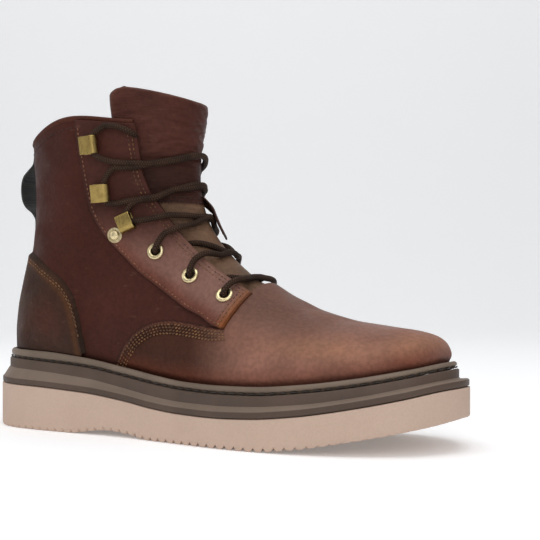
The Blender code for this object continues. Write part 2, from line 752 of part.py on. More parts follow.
def make_eyelet(name, row, share):
    centre, along, across, outwards = local_frame(row, share)
    profile = [
        (EYELET_HOLE, 0),
        (EYELET_OUTER, 0),
        (EYELET_OUTER, EYELET_HEIGHT * 0.4),
        (EYELET_OUTER * 0.75, EYELET_HEIGHT),
        (EYELET_HOLE, EYELET_HEIGHT * 0.6),
    ]
    vertices, faces = [], []
    for i in range(EYELET_SIDES):
        angle = 2 * math.pi * i / EYELET_SIDES
        spoke = along * math.cos(angle) + across * math.sin(angle)
        vertices += [centre + spoke * r + outwards * (FACING_TOP + h) for r, h in profile]
    for i in range(EYELET_SIDES):
        here, ahead = i * len(profile), (i + 1) % EYELET_SIDES * len(profile)
        for k in range(len(profile)):
            after = (k + 1) % len(profile)
            faces.append((here + k, here + after, ahead + after, ahead + k))
    add_piece(name, vertices, faces, brass)


def make_hook(name, row, share, turn, low):
    """A folded brass plate: its foot lies on the facing, and it folds back over the lace."""
    side = -1 if share < 0 else 1
    centre, along, across, outwards = local_frame(row, share, -turn * side)
    rearwards = across * -side if np.dot(across * -side, np.array([-1.0, 0, 0])) > 0 else across * side
    t, gap, reach = HOOK_THICKNESS, HOOK_OPENING, HOOK_REACH
    profile = [
        (reach, low),
        (0.0012, low),
        (0, low + 0.0012),
        (0, low + gap + 2 * t - 0.0014),
        (0.0014, low + gap + 2 * t),
        (reach * 0.8, low + gap + 2 * t),
        (reach, low + gap + 2 * t - 0.0012),
        (reach - 0.0004, low + gap + t - 0.0010),
        (reach * 0.78, low + gap + t),
        (0.0018, low + gap + t),
        (t, low + gap + t - 0.0008),
        (t, low + t + 0.0008),
        (0.0018, low + t),
        (reach, low + t),
    ]
    vertices = []
    for edge in (-0.5, 0.5):
        vertices += [
            centre + rearwards * (x - reach / 2) + along * HOOK_WIDTH * edge + outwards * (FACING_TOP + h)
            for x, h in profile
        ]
    count = len(profile)
    faces = [(i, (i + 1) % count, (i + 1) % count + count, i + count) for i in range(count)]
    quads = [(0, 1, 12, 13), (1, 2, 11, 12), (2, 3, 10, 11), (3, 4, 9, 10), (4, 5, 8, 9), (5, 6, 7, 8)]
    faces += [quad[::-1] for quad in quads] + [tuple(i + count for i in quad) for quad in quads]
    add_piece(name, vertices, faces, brass)


def make_laces():
    for number, strand in enumerate(STRANDS, start=1):
        twin = [(row, -share, lift) for row, share, lift in strand]
        pieces = []
        for part, points in enumerate((strand, twin)):
            route = spline(points)
            line = [above_last(*route(share)) for share in np.linspace(0, 1, STRAND_POINTS)]
            pieces.append(add_tube(f"lace_crossing_{number}" if part == 0 else f"twin_{number}", line))
        crossing, other = pieces
        union = crossing.modifiers.new("Join", "BOOLEAN")
        union.operation = "UNION"
        union.object = other
        other.hide_render = True
        other.display_type = "WIRE"
    for name, side in (("lace_end_outer", -1), ("lace_end_inner", 1)):
        route = spline([(row, share * side, lift) for row, share, lift in LACE_END])
        add_tube(name, [above_last(*route(share)) for share in np.linspace(0, 1, STRAND_POINTS)])


def add_tube(name, line):
    """A round lace along a line, closed at both ends."""
    line = np.array(line)
    ahead = np.gradient(line, axis=0)
    ahead /= np.linalg.norm(ahead, axis=1)[:, None]
    side = np.cross(ahead[0], [0, 0, 1.0])
    vertices, faces = [], []
    for centre, direction in zip(line, ahead):
        side = side - direction * np.dot(side, direction)
        side /= np.linalg.norm(side)
        up = np.cross(direction, side)
        for k in range(LACE_SIDES):
            angle = 2 * math.pi * k / LACE_SIDES
            vertices.append(centre + (side * math.cos(angle) + up * math.sin(angle)) * LACE_DIAMETER / 2)
    for i in range(len(line) - 1):
        here, ahead = i * LACE_SIDES, (i + 1) * LACE_SIDES
        for k in range(LACE_SIDES):
            j = (k + 1) % LACE_SIDES
            faces.append((here + k, here + j, ahead + j, ahead + k))
    last = (len(line) - 1) * LACE_SIDES
    faces.append(tuple(range(LACE_SIDES))[::-1])
    faces.append(tuple(range(last, last + LACE_SIDES)))
    return add_piece(name, vertices, faces, lace_cord)


throat_half = columns(THROAT)[0]
tongue_share = columns(TONGUE_WIDTH)[0]
facing_line = columns(FACING_LINE)[0]
counter_line = columns(COUNTER_LINE)[0]

for old in list(bpy.data.objects):
    bpy.data.objects.remove(old)

outsole_rubber = new_material("outsole_rubber", (0.62, 0.46, 0.36), 0.75)
midsole_rubber = new_material("midsole_rubber", (0.13, 0.10, 0.08), 0.8)
welt_rubber = new_material("welt_rubber", (0.20, 0.16, 0.13), 0.75)
lining_textile = new_material("lining_textile", (0.20, 0.13, 0.08), 0.95)
quarter_leather = new_material("quarter_leather", (0.10, 0.035, 0.022), 0.45)
facing_leather = new_material("facing_leather", (0.20, 0.09, 0.05), 0.45)
counter_leather = new_material("counter_leather", (0.10, 0.055, 0.038), 0.5)
tongue_leather = new_material("tongue_leather", (0.09, 0.032, 0.022), 0.5)
webbing = new_material("webbing", (0.02, 0.02, 0.018), 0.9)
brass = new_material("brass", (0.55, 0.42, 0.18), 0.35, 1.0)
lace_cord = new_material("lace_cord", (0.06, 0.035, 0.022), 0.85)

make_sole()
make_upper()
make_tongue()
make_counter()
make_facings()
make_pull_loop()
for number, (row, share) in enumerate(EYELETS, start=1):
    make_eyelet(f"eyelet_outer_{number}", row, -share)
    make_eyelet(f"eyelet_inner_{number}", row, share)
for number, (row, share, turn, seat) in enumerate(HOOKS, start=1):
    make_hook(f"hook_outer_{number}", row, -share, turn, seat)
    make_hook(f"hook_inner_{number}", row, share, turn, seat)
make_laces()
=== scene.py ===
"""A lace-up leather work boot for the right foot on a one-piece wedge sole, dressed over its CAD frame.

Tables and sizes are in metres. In them x runs from the back of the heel to the toe tip, the outer side of
the foot is at -y, and z is the height above the floor. add_piece moves each mesh by ORIGIN into the frame.
"""

import math

import bmesh
import bpy
import numpy as np
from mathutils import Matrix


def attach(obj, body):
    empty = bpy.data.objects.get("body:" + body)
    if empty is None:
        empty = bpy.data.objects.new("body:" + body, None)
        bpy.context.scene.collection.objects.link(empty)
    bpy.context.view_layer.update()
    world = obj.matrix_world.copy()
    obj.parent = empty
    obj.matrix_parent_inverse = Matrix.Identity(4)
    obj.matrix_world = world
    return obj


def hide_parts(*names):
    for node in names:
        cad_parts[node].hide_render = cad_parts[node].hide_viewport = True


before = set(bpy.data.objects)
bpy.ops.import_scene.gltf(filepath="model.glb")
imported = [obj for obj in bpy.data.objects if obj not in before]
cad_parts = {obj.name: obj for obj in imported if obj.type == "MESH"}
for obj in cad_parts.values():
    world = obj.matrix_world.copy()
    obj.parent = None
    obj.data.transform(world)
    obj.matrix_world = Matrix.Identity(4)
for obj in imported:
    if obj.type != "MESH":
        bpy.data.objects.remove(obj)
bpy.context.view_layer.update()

# The camera and the studio.
# A long lens stands level with the ankle and looks across the toe, as in a catalogue picture. The boot
# stands on a pale paper sweep under large soft lamps.

VIEW_TURN = math.radians(29.15)
SWEEP_COLOUR = (0.92, 0.92, 0.92, 1)
SWEEP_GLOW = 0.16

camera = bpy.data.objects.new("camera", bpy.data.cameras.new("camera"))
camera.location = (0.3675, -0.5951, 0.0913)
camera.rotation_euler = (math.pi / 2, 0, VIEW_TURN)
camera.data.lens = 79.7
camera.data.sensor_width = 36
camera.data.shift_y = 0.0137
bpy.context.scene.collection.objects.link(camera)
bpy.context.scene.camera = camera

sweep_profile = [(-2.5, 0.0), (1.2, 0.0)]
for step in range(1, 13):
    angle = math.radians(90 * step / 12)
    sweep_profile.append((1.2 + 0.8 * math.sin(angle), 0.8 - 0.8 * math.cos(angle)))
sweep_profile.append((2.0, 3.0))
ahead = np.array([-math.sin(VIEW_TURN), math.cos(VIEW_TURN)])
aside = np.array([math.cos(VIEW_TURN), math.sin(VIEW_TURN)])
sweep_points = []
for away, height in sweep_profile:
    for reach in (-4.0, 4.0):
        x, y = ahead * away + aside * reach
        sweep_points.append((x, y, height))
sweep_faces = [(2 * i, 2 * i + 1, 2 * i + 3, 2 * i + 2) for i in range(len(sweep_profile) - 1)]
sweep_mesh = bpy.data.meshes.new("paper_sweep")
sweep_mesh.from_pydata(sweep_points, [], sweep_faces)
sweep_mesh.shade_smooth()
paper_sweep = bpy.data.objects.new("paper_sweep", sweep_mesh)
bpy.context.scene.collection.objects.link(paper_sweep)
paper = bpy.data.materials.new("pale_paper")
paper.use_nodes = True
paper.node_tree.nodes["Principled BSDF"].inputs["Base Color"].default_value = SWEEP_COLOUR
paper.node_tree.nodes["Principled BSDF"].inputs["Roughness"].default_value = 0.7
paper.node_tree.nodes["Principled BSDF"].inputs["Emission Color"].default_value = (1, 1, 1, 1)
paper.node_tree.nodes["Principled BSDF"].inputs["Emission Strength"].default_value = SWEEP_GLOW
sweep_mesh.materials.append(paper)

world = bpy.data.worlds.new("room")
world.use_nodes = True
world.node_tree.nodes["Background"].inputs["Color"].default_value = (0.94, 0.96, 1.0, 1)
world.node_tree.nodes["Background"].inputs["Strength"].default_value = 0.40
bpy.context.scene.world = world
bpy.context.scene.view_settings.view_transform = "Standard"


def add_lamp(name, place, aim, size, power):
    """A square soft lamp that shines from a place towards a point."""
    lamp = bpy.data.objects.new(name, bpy.data.lights.new(name, "AREA"))
    lamp.data.size = size
    lamp.data.energy = power
    lamp.location = place
    back = np.array(place) - np.array(aim)
    flat = math.hypot(back[0], back[1])
    lamp.rotation_euler = (math.atan2(flat, back[2]), 0, math.atan2(back[0], -back[1]))
    bpy.context.scene.collection.objects.link(lamp)


add_lamp("top_lamp", (0.1, -0.2, 1.5), aim=(0, 0, 0.1), size=1.4, power=13)
add_lamp("front_lamp", (0.9, -1.4, 0.9), aim=(0.05, 0, 0.1), size=1.0, power=9)
add_lamp("side_lamp", (-1.1, -0.9, 0.8), aim=(0, 0, 0.1), size=0.9, power=3)

# The outsole.
# One wedge of pale blown rubber, cast with ribs across its tread that show as a row of slanted notches along
# the lower edge. It is glued under the midsole.

SOLE_LENGTH = 0.305
TOE_SETBACK = 0.20
SEAT_GAP = 0.0003
TREAD_INSET = 0.0045
NOTCHES = 58
POINTS_PER_NOTCH = 8
NOTCH_DEPTH = 0.0021

# How far the edge of the outsole lies from the centre line on each side of the foot.
SOLE_OUTLINE = [
    # from_heel, outer, inner
    (0.000, 0.0000, 0.0000),
    (0.006, 0.0190, 0.0190),
    (0.022, 0.0325, 0.0325),
    (0.045, 0.0380, 0.0380),
    (0.080, 0.0400, 0.0375),
    (0.115, 0.0420, 0.0365),
    (0.150, 0.0480, 0.0410),
    (0.185, 0.0540, 0.0500),
    (0.215, 0.0555, 0.0550),
    (0.245, 0.0520, 0.0540),
    (0.272, 0.0430, 0.0470),
    (0.293, 0.0270, 0.0310),
    (0.305, -0.0020, 0.0020),
]
# Heights of the tread, of the joint over the outsole, of the midsole's shelf and top, and of the welt's top.
SOLE_LEVELS = [
    # from_heel, tread, joint, shelf, midsole_top, welt_top
    (0.000, 0.0020, 0.0264, 0.0362, 0.0418, 0.0474),
    (0.012, 0.0003, 0.0263, 0.0360, 0.0418, 0.0474),
    (0.020, 0.0000, 0.0262, 0.0358, 0.0417, 0.0474),
    (0.050, 0.0000, 0.0257, 0.0346, 0.0406, 0.0468),
    (0.074, 0.0000, 0.0246, 0.0328, 0.0392, 0.0449),
    (0.090, 0.0020, 0.0236, 0.0312, 0.0376, 0.0430),
    (0.103, 0.0032, 0.0222, 0.0291, 0.0356, 0.0409),
    (0.118, 0.0022, 0.0204, 0.0266, 0.0333, 0.0386),
    (0.136, 0.0000, 0.0180, 0.0241, 0.0309, 0.0360),
    (0.158, 0.0000, 0.0164, 0.0224, 0.0290, 0.0338),
    (0.180, 0.0000, 0.0160, 0.0221, 0.0284, 0.0332),
    (0.205, 0.0000, 0.0168, 0.0229, 0.0288, 0.0336),
    (0.232, 0.0026, 0.0194, 0.0252, 0.0311, 0.0357),
    (0.260, 0.0076, 0.0240, 0.0295, 0.0349, 0.0395),
    (0.284, 0.0124, 0.0290, 0.0347, 0.0396, 0.0441),
    (0.300, 0.0164, 0.0330, 0.0384, 0.0434, 0.0476),
    (0.305, 0.0184, 0.0338, 0.0392, 0.0440, 0.0480),
]


def flow(knots, values):
    """A smooth function through a column of a table, which never overshoots between two rows."""
    knots = np.asarray(knots, float)
    values = np.asarray(values, float)
    steps = np.diff(knots)
    slopes = np.diff(values) / steps
    tangents = np.zeros(len(knots))
    tangents[0], tangents[-1] = slopes[0], slopes[-1]
    for i in range(1, len(knots) - 1):
        if slopes[i - 1] * slopes[i] > 0:
            before = 2 * steps[i] + steps[i - 1]
            after = steps[i] + 2 * steps[i - 1]
            tangents[i] = (before + after) / (before / slopes[i - 1] + after / slopes[i])

    def at(x):
        x = np.clip(x, knots[0], knots[-1])
        i = np.clip(np.searchsorted(knots, x, side="right") - 1, 0, len(steps) - 1)
        share = (x - knots[i]) / steps[i]
        rest = 1 - share
        return (
            values[i] * rest * rest * (1 + 2 * share)
            + values[i + 1] * share * share * (3 - 2 * share)
            + tangents[i] * steps[i] * share * rest * rest
            - tangents[i + 1] * steps[i] * share * share * rest
        )

    return at


def columns(table):
    """The columns of a table, each as a smooth function of the first one."""
    first, *others = zip(*table)
    return [flow(first, column) for column in others]


def closed_curve(points, between):
    """A smooth closed curve through the points, with a few more points between each two."""
    points = np.asarray(points, float)
    made = []
    for i in range(len(points)):
        a, b, c, d = (points[(i + k) % len(points)] for k in (-1, 0, 1, 2))
        tb = math.sqrt(np.linalg.norm(b - a))
        tc = tb + math.sqrt(np.linalg.norm(c - b))
        td = tc + math.sqrt(np.linalg.norm(d - c))
        for t in np.linspace(tb, tc, between, endpoint=False):
            ab = a + (b - a) * t / tb
            bc = b + (c - b) * (t - tb) / (tc - tb)
            cd = c + (d - c) * (t - tc) / (td - tc)
            abc = ab + (bc - ab) * t / tc
            bcd = bc + (cd - bc) * (t - tb) / (td - tb)
            made.append(abc + (bcd - abc) * (t - tb) / (tc - tb))
    return np.array(made)


tread_height, joint_height, shelf_height, midsole_top, welt_top = columns(SOLE_LEVELS)
outer_edge = [(x, -outer) for x, outer, inner in SOLE_OUTLINE]
inner_edge = [(x, inner) for x, outer, inner in SOLE_OUTLINE[1:-1]]
EDGE_CURVE = closed_curve(outer_edge + inner_edge[::-1], between=24)
TOE_INDEX = (len(SOLE_OUTLINE) - 1) * 24
ORIGIN = np.array([SOLE_LENGTH / 2, (EDGE_CURVE[:, 1].min() + EDGE_CURVE[:, 1].max()) / 2, 0.0])


def edge_halves(inset):
    """The sole's edge moved inwards: its outer and inner halves, each from the heel's back to the toe."""
    forwards = np.roll(EDGE_CURVE, -1, axis=0) - np.roll(EDGE_CURVE, 1, axis=0)
    inwards = np.stack([-forwards[:, 1], forwards[:, 0]], axis=1)
    inwards /= np.linalg.norm(inwards, axis=1)[:, None]
    setback = 1 + TOE_SETBACK * np.clip((EDGE_CURVE[:, 0] - 0.235) / 0.060, 0, 1)
    moved = EDGE_CURVE + inwards * (inset * setback)[:, None]
    return moved[: TOE_INDEX + 1], np.concatenate([moved[TOE_INDEX:], moved[:1]])[::-1]


def spaced(line, count):
    """count + 1 points, evenly spaced along a line."""
    line = np.asarray(line, float)
    gone = np.concatenate([[0], np.cumsum(np.linalg.norm(np.diff(line, axis=0), axis=1))])
    at = np.linspace(0, gone[-1], count + 1)
    return np.stack([np.interp(at, gone, line[:, k]) for k in range(line.shape[1])], axis=1)


def sole_loop(inset, height, half_count, lift=0.0):
    """One closed loop round the sole, at an inset from its edge. lift is added to its points' height."""
    outer, inner = edge_halves(inset)
    plan = np.concatenate([spaced(outer, half_count), spaced(inner, half_count)[-2:0:-1]])
    return np.column_stack([plan, height(plan[:, 0]) + lift])


def ring_faces(count, loops, wraps=False):
    """The faces between loops of a ring. wraps joins the last loop to the first one."""
    made = []
    for k in range(loops if wraps else loops - 1):
        below, above = k * count, (k + 1) % loops * count
        for i in range(count):
            j = (i + 1) % count
            made.append((below + i, below + j, above + j, above + i))
    return made


def lid_faces(count, first, turn):
    """Strips right across a loop, from one half of the sole's edge to the other."""
    made = []
    for i in range(count // 2):
        strip = dict.fromkeys([i, i + 1, (count - i - 1) % count, (count - i) % count])
        made.append(tuple(first + k for k in strip)[::turn])
    return made


def add_piece(name, points, faces, material, uv=None, colour_and_painted_light=None, recalculate=False, sharp=50):
    """An object from points and faces, placed in the frame and riding on the boot.

    uv holds a pair for each corner of each face, and a colour may be given for each point; on the leather
    these colours carry painted light and shade.
    """
    mesh = bpy.data.meshes.new(name)
    mesh.from_pydata((np.asarray(points, float) - ORIGIN).tolist(), [], faces)
    if uv is not None:
        layer = mesh.uv_layers.new(name="UVMap")
        layer.data.foreach_set("uv", np.asarray(uv, np.float32).ravel())
    if colour_and_painted_light is not None:
        layer = mesh.color_attributes.new("colour_and_painted_light", "FLOAT_COLOR", "POINT")
        colours = np.column_stack([colour_and_painted_light, np.ones(len(colour_and_painted_light))]).astype(np.float32)
        layer.data.foreach_set("color", colours.ravel())
    if recalculate:
        shape = bmesh.new()
        shape.from_mesh(mesh)
        bmesh.ops.remove_doubles(shape, verts=shape.verts, dist=0.000005)
        bmesh.ops.recalc_face_normals(shape, faces=shape.faces)
        shape.to_mesh(mesh)
        shape.free()
    mesh.shade_smooth()
    mesh.set_sharp_from_angle(angle=math.radians(sharp))
    mesh.materials.append(material)
    piece = bpy.data.objects.new(name, mesh)
    bpy.context.scene.collection.objects.link(piece)
    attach(piece, "root")
    return piece


def linear(red, green, blue):
    """A colour picked on a screen, as the shader takes it."""
    return tuple(((c / 255 + 0.055) / 1.055) ** 2.4 if c > 10 else c / 3294.6 for c in (red, green, blue))


def new_material(name, colour, roughness):
    """A material with its node tree and its shader, before its own texture is added."""
    material = bpy.data.materials.new(name)
    material.use_nodes = True
    shader = material.node_tree.nodes["Principled BSDF"]
    shader.inputs["Base Color"].default_value = (*linear(*colour), 1)
    shader.inputs["Roughness"].default_value = roughness
    return material, material.node_tree, shader


def add_node(tree, kind, **inputs):
    """A node of a tree, with some of its inputs set to a value or linked to another node's output."""
    node = tree.nodes.new(kind)
    for name, value in inputs.items():
        socket = node.inputs[name.replace("_", " ")]
        if isinstance(value, bpy.types.NodeSocket):
            tree.links.new(value, socket)
        else:
            socket.default_value = value
    return node


def add_noise(tree, place, scale, detail=4.0, stretch=(1, 1, 1)):
    """A cloudy pattern from 0 to 1 on the piece, scale patches to the metre, stretched along the axes."""
    spread = add_node(tree, "ShaderNodeMapping", Vector=place, Scale=stretch)
    noise = add_node(tree, "ShaderNodeTexNoise", Vector=spread.outputs[0], Scale=scale, Detail=detail)
    return noise.outputs["Fac"]


def mix_colours(tree, way, share, first, second):
    """Two colours mixed; share, first and second are each a value or an output."""
    node = tree.nodes.new("ShaderNodeMix")
    node.data_type = "RGBA"
    node.blend_type = way
    for number, value in ((0, share), (6, first), (7, second)):
        if isinstance(value, bpy.types.NodeSocket):
            tree.links.new(value, node.inputs[number])
        else:
            node.inputs[number].default_value = value
    return node.outputs[2]


def spread_out(tree, value, low, high, first, last):
    """A value between low and high taken to the range from first to last."""
    node = tree.nodes.new("ShaderNodeMapRange")
    node.interpolation_type = "SMOOTHSTEP"
    tree.links.new(value, node.inputs["Value"])
    for name, number in (("From Min", low), ("From Max", high), ("To Min", first), ("To Max", last)):
        node.inputs[name].default_value = number
    return node.outputs[0]


def add_bump(tree, shader, height, depth, under=None):
    """Relief of a depth in metres, laid over other relief if that is given."""
    bump = add_node(tree, "ShaderNodeBump", Height=height, Strength=1.0, Distance=depth)
    if under is not None:
        tree.links.new(under, bump.inputs["Normal"])
    tree.links.new(bump.outputs[0], shader.inputs["Normal"])
    return bump.outputs[0]


def cast_rubber(name, colour, second_colour, roughness, pore_depth):
    """Moulded rubber: two close shades in soft clouds, with fine pores."""
    material, tree, shader = new_material(name, colour, roughness)
    shader.inputs["Specular IOR Level"].default_value = 0.28
    place = add_node(tree, "ShaderNodeTexCoord").outputs["Object"]
    clouds = spread_out(tree, add_noise(tree, place, 28, 3), 0.35, 0.65, 0.0, 1.0)
    shade = mix_colours(tree, "MIX", clouds, (*linear(*colour), 1), (*linear(*second_colour), 1))
    dust = spread_out(tree, add_noise(tree, place, 900, 4), 0.40, 0.60, 0.975, 1.015)
    tone = add_node(tree, "ShaderNodeCombineColor", Red=dust, Green=dust, Blue=dust)
    tree.links.new(mix_colours(tree, "MULTIPLY", 1.0, shade, tone.outputs[0]), shader.inputs["Base Color"])
    smear = spread_out(tree, add_noise(tree, place, 60, 4), 0.3, 0.7, roughness - 0.08, roughness + 0.10)
    tree.links.new(smear, shader.inputs["Roughness"])
    coarse = add_bump(tree, shader, add_noise(tree, place, 160, 3), pore_depth * 3)
    add_bump(tree, shader, add_noise(tree, place, 1500, 3), pore_depth, coarse)
    return material


blown_rubber = cast_rubber("blown_rubber", (190, 165, 148), (187, 162, 145),
                           roughness=0.66, pore_depth=0.00003)


def notch_lift(count):
    """How high the ribs' gaps cut into the tread's edge, at each point round it: a slanted triangle a gap."""
    around = (np.arange(count) % POINTS_PER_NOTCH) / POINTS_PER_NOTCH
    rise = np.interp(around, [0, 0.5, 0.58, 0.78, 0.92, 1.0], [0, 0, 0.35, 1.0, 0.2, 0])
    return rise


tread_half = NOTCHES * POINTS_PER_NOTCH
gap_lift = notch_lift(2 * tread_half)
plan_x = sole_loop(0, tread_height, tread_half)[:, 0]
shallow = 1 - 0.75 * np.clip((plan_x - 0.215) / 0.050, 0, 1)
gap_lift = gap_lift * shallow * NOTCH_DEPTH
outsole_loops = [
    sole_loop(TREAD_INSET, tread_height, tread_half, gap_lift),
    sole_loop(0.0010, tread_height, tread_half, gap_lift),
    sole_loop(0.0003, tread_height, tread_half, 0.0003 + gap_lift),
    sole_loop(0, tread_height, tread_half, 0.0010 + gap_lift * 0.9),
    sole_loop(0, tread_height, tread_half, 0.0036),
    sole_loop(0, joint_height, tread_half, -0.0015),
    sole_loop(0.0001, joint_height, tread_half, -0.0003),
    sole_loop(0.0009, joint_height, tread_half),
]
outsole_faces = ring_faces(2 * tread_half, len(outsole_loops))
outsole_faces += lid_faces(2 * tread_half, 0, -1)
outsole_faces += lid_faces(2 * tread_half, (len(outsole_loops) - 1) * 2 * tread_half, 1)
outsole = add_piece("wedge_outsole", np.concatenate(outsole_loops), outsole_faces, blown_rubber,
                    recalculate=True, sharp=35)
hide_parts("outsole")

# The midsole.
# A strip of dark rubber stands on the outsole and slopes in to a second, smaller step. Both are moulded in
# one and glued on before the welt is laid.

RAND_HEIGHT = 0.0039
SHELF_INSET = 0.0048
SOLE_HALF = 190

dark_rubber = cast_rubber("dark_rubber", (84, 68, 58), (76, 62, 53), roughness=0.58, pore_depth=0.00005)
# A paler copy of the same rubber, painted light for the midsole's sloping shelf.
painted_light_bevel_rubber = cast_rubber("painted_light_bevel_rubber", (120, 103, 90), (112, 96, 83),
                           roughness=0.55, pore_depth=0.00005)
midsole_loops = [
    sole_loop(0.0012, joint_height, SOLE_HALF, SEAT_GAP),
    sole_loop(0.0004, joint_height, SOLE_HALF, SEAT_GAP + 0.0003),
    sole_loop(SEAT_GAP, joint_height, SOLE_HALF, 0.0011),
    sole_loop(SEAT_GAP, joint_height, SOLE_HALF, RAND_HEIGHT - 0.0007),
    sole_loop(0.0005, joint_height, SOLE_HALF, RAND_HEIGHT - 0.0001),
    sole_loop(0.0011, joint_height, SOLE_HALF, RAND_HEIGHT + 0.0004),
    sole_loop(SHELF_INSET - 0.0006, shelf_height, SOLE_HALF, -0.0005),
    sole_loop(SHELF_INSET, shelf_height, SOLE_HALF, 0.0002),
    sole_loop(SHELF_INSET, midsole_top, SOLE_HALF, -0.0007),
    sole_loop(SHELF_INSET + 0.0006, midsole_top, SOLE_HALF),
]
midsole_faces = ring_faces(2 * SOLE_HALF, len(midsole_loops))
midsole_faces += lid_faces(2 * SOLE_HALF, 0, -1)
midsole_faces += lid_faces(2 * SOLE_HALF, (len(midsole_loops) - 1) * 2 * SOLE_HALF, 1)
midsole = add_piece("stepped_midsole", np.concatenate(midsole_loops), midsole_faces, dark_rubber,
                    recalculate=True, sharp=60)
# The slope between the two steps gets a paler copy of the same rubber, painted light for the lamps' light
# that it catches.
midsole.data.materials.append(painted_light_bevel_rubber)
BEVEL_FIRST, BEVEL_END = 4, 7
for face in midsole.data.polygons[BEVEL_FIRST * 2 * SOLE_HALF : BEVEL_END * 2 * SOLE_HALF]:
    face.material_index = 1
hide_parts("midsole")

# The welt.
# A rounded bead of lighter rubber lies on the midsole against the leather, with a groove under it. A heavy
# dark thread is sewn down through the groove and holds the upper to the midsole.

WELT_INSET = 0.0057
FEATHER_INSET = 0.0113
WELT_STITCH_PITCH = 0.0062
WELT_STITCH_LENGTH = 0.0048
WELT_STITCH_WIDTH = 0.0010

bead_rubber = cast_rubber("bead_rubber", (116, 100, 86), (103, 88, 75), roughness=0.52, pore_depth=0.00005)
welt_loops = [
    sole_loop(WELT_INSET + 0.0022, midsole_top, SOLE_HALF, SEAT_GAP),
    sole_loop(WELT_INSET + 0.0020, midsole_top, SOLE_HALF, 0.0011),
    sole_loop(WELT_INSET + 0.0008, midsole_top, SOLE_HALF, 0.0014),
    sole_loop(WELT_INSET + 0.0001, midsole_top, SOLE_HALF, 0.0021),
    sole_loop(WELT_INSET, welt_top, SOLE_HALF, -0.0020),
    sole_loop(WELT_INSET + 0.0004, welt_top, SOLE_HALF, -0.0008),
    sole_loop(WELT_INSET + 0.0013, welt_top, SOLE_HALF, -0.0001),
    sole_loop(WELT_INSET + 0.0026, welt_top, SOLE_HALF, -0.0003),
    sole_loop(0.0090, midsole_top, SOLE_HALF, 0.0022),
    sole_loop(FEATHER_INSET - SEAT_GAP, midsole_top, SOLE_HALF, SEAT_GAP),
]
welt = add_piece("welt_bead", np.concatenate(welt_loops), ring_faces(2 * SOLE_HALF, len(welt_loops), True),
                 bead_rubber, recalculate=True, sharp=60)
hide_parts("welt")


def make_stitch_tree():
    """A tree that lays small rounded stitches along the lines that it is given."""
    tree = bpy.data.node_groups.new("stitches_along_a_seam", "GeometryNodeTree")
    tree.interface.new_socket("Seam", in_out="INPUT", socket_type="NodeSocketGeometry")
    for name, default in (("Pitch", 0.003), ("Length", 0.002), ("Width", 0.0008), ("Slant", 0.0)):
        socket = tree.interface.new_socket(name, in_out="INPUT", socket_type="NodeSocketFloat")
        socket.default_value = default
    tree.interface.new_socket("Thread", in_out="INPUT", socket_type="NodeSocketMaterial")
    tree.interface.new_socket("Stitches", in_out="OUTPUT", socket_type="NodeSocketGeometry")
    start = tree.nodes.new("NodeGroupInput").outputs
    line = add_node(tree, "GeometryNodeMeshToCurve", Mesh=start["Seam"])
    evenly = tree.nodes.new("GeometryNodeResampleCurve")
    evenly.mode = "LENGTH"
    tree.links.new(line.outputs[0], evenly.inputs["Curve"])
    tree.links.new(start["Pitch"], evenly.inputs["Length"])
    points = tree.nodes.new("GeometryNodeCurveToPoints")
    points.mode = "EVALUATED"
    tree.links.new(evenly.outputs[0], points.inputs["Curve"])
    turned = tree.nodes.new("FunctionNodeAlignRotationToVector")
    turned.axis = "X"
    tree.links.new(points.outputs["Tangent"], turned.inputs["Vector"])
    slanted = add_node(tree, "FunctionNodeRotateRotation", Rotation=turned.outputs[0])
    slanted.rotation_space = "LOCAL"
    tilt = add_node(tree, "ShaderNodeCombineXYZ", Z=start["Slant"])
    tree.links.new(tilt.outputs[0], slanted.inputs["Rotate By"])
    ball = add_node(tree, "GeometryNodeMeshUVSphere", Segments=6, Rings=5, Radius=0.5)
    size = add_node(tree, "ShaderNodeCombineXYZ", X=start["Length"], Y=start["Width"], Z=start["Width"])
    placed = add_node(tree, "GeometryNodeInstanceOnPoints", Points=points.outputs["Points"],
                      Instance=ball.outputs["Mesh"], Rotation=slanted.outputs[0], Scale=size.outputs[0])
    real = add_node(tree, "GeometryNodeRealizeInstances", Geometry=placed.outputs[0])
    smooth = add_node(tree, "GeometryNodeSetShadeSmooth", Geometry=real.outputs[0])
    dyed = add_node(tree, "GeometryNodeSetMaterial", Geometry=smooth.outputs[0], Material=start["Thread"])
    tree.links.new(dyed.outputs[0], tree.nodes.new("NodeGroupOutput").inputs["Stitches"])
    return tree


stitch_tree = make_stitch_tree()


def run_tree(name, tree, points, edges, settings, attributes=()):
    """A piece that a node tree makes from points and edges, turned into a plain mesh."""
    mesh = bpy.data.meshes.new(name)
    mesh.from_pydata((np.asarray(points, float) - ORIGIN).tolist(), edges, [])
    for label, vectors in attributes:
        layer = mesh.attributes.new(label, "FLOAT_VECTOR", "POINT")
        layer.data.foreach_set("vector", np.asarray(vectors, np.float32).ravel())
    piece = bpy.data.objects.new(name, mesh)
    bpy.context.scene.collection.objects.link(piece)
    modifier = piece.modifiers.new("Make", "NODES")
    modifier.node_group = tree
    for item in tree.interface.items_tree:
        if item.in_out == "INPUT" and item.name in settings:
            modifier[item.identifier] = settings[item.name]
    graph = bpy.context.evaluated_depsgraph_get()
    made = bpy.data.meshes.new_from_object(piece.evaluated_get(graph))
    piece.modifiers.remove(modifier)
    piece.data = made
    made.name = name
    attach(piece, "root")
    return piece


def sew(name, lines, thread, pitch, length, width, slant=0.0):
    """Stitches of one thread along several lines."""
    points, edges = [], []
    for line in lines:
        first = len(points)
        points += list(line)
        edges += [(first + i, first + i + 1) for i in range(len(line) - 1)]
    settings = {"Pitch": pitch, "Length": length, "Width": width, "Slant": slant, "Thread": thread}
    return run_tree(name, stitch_tree, points, edges, settings)


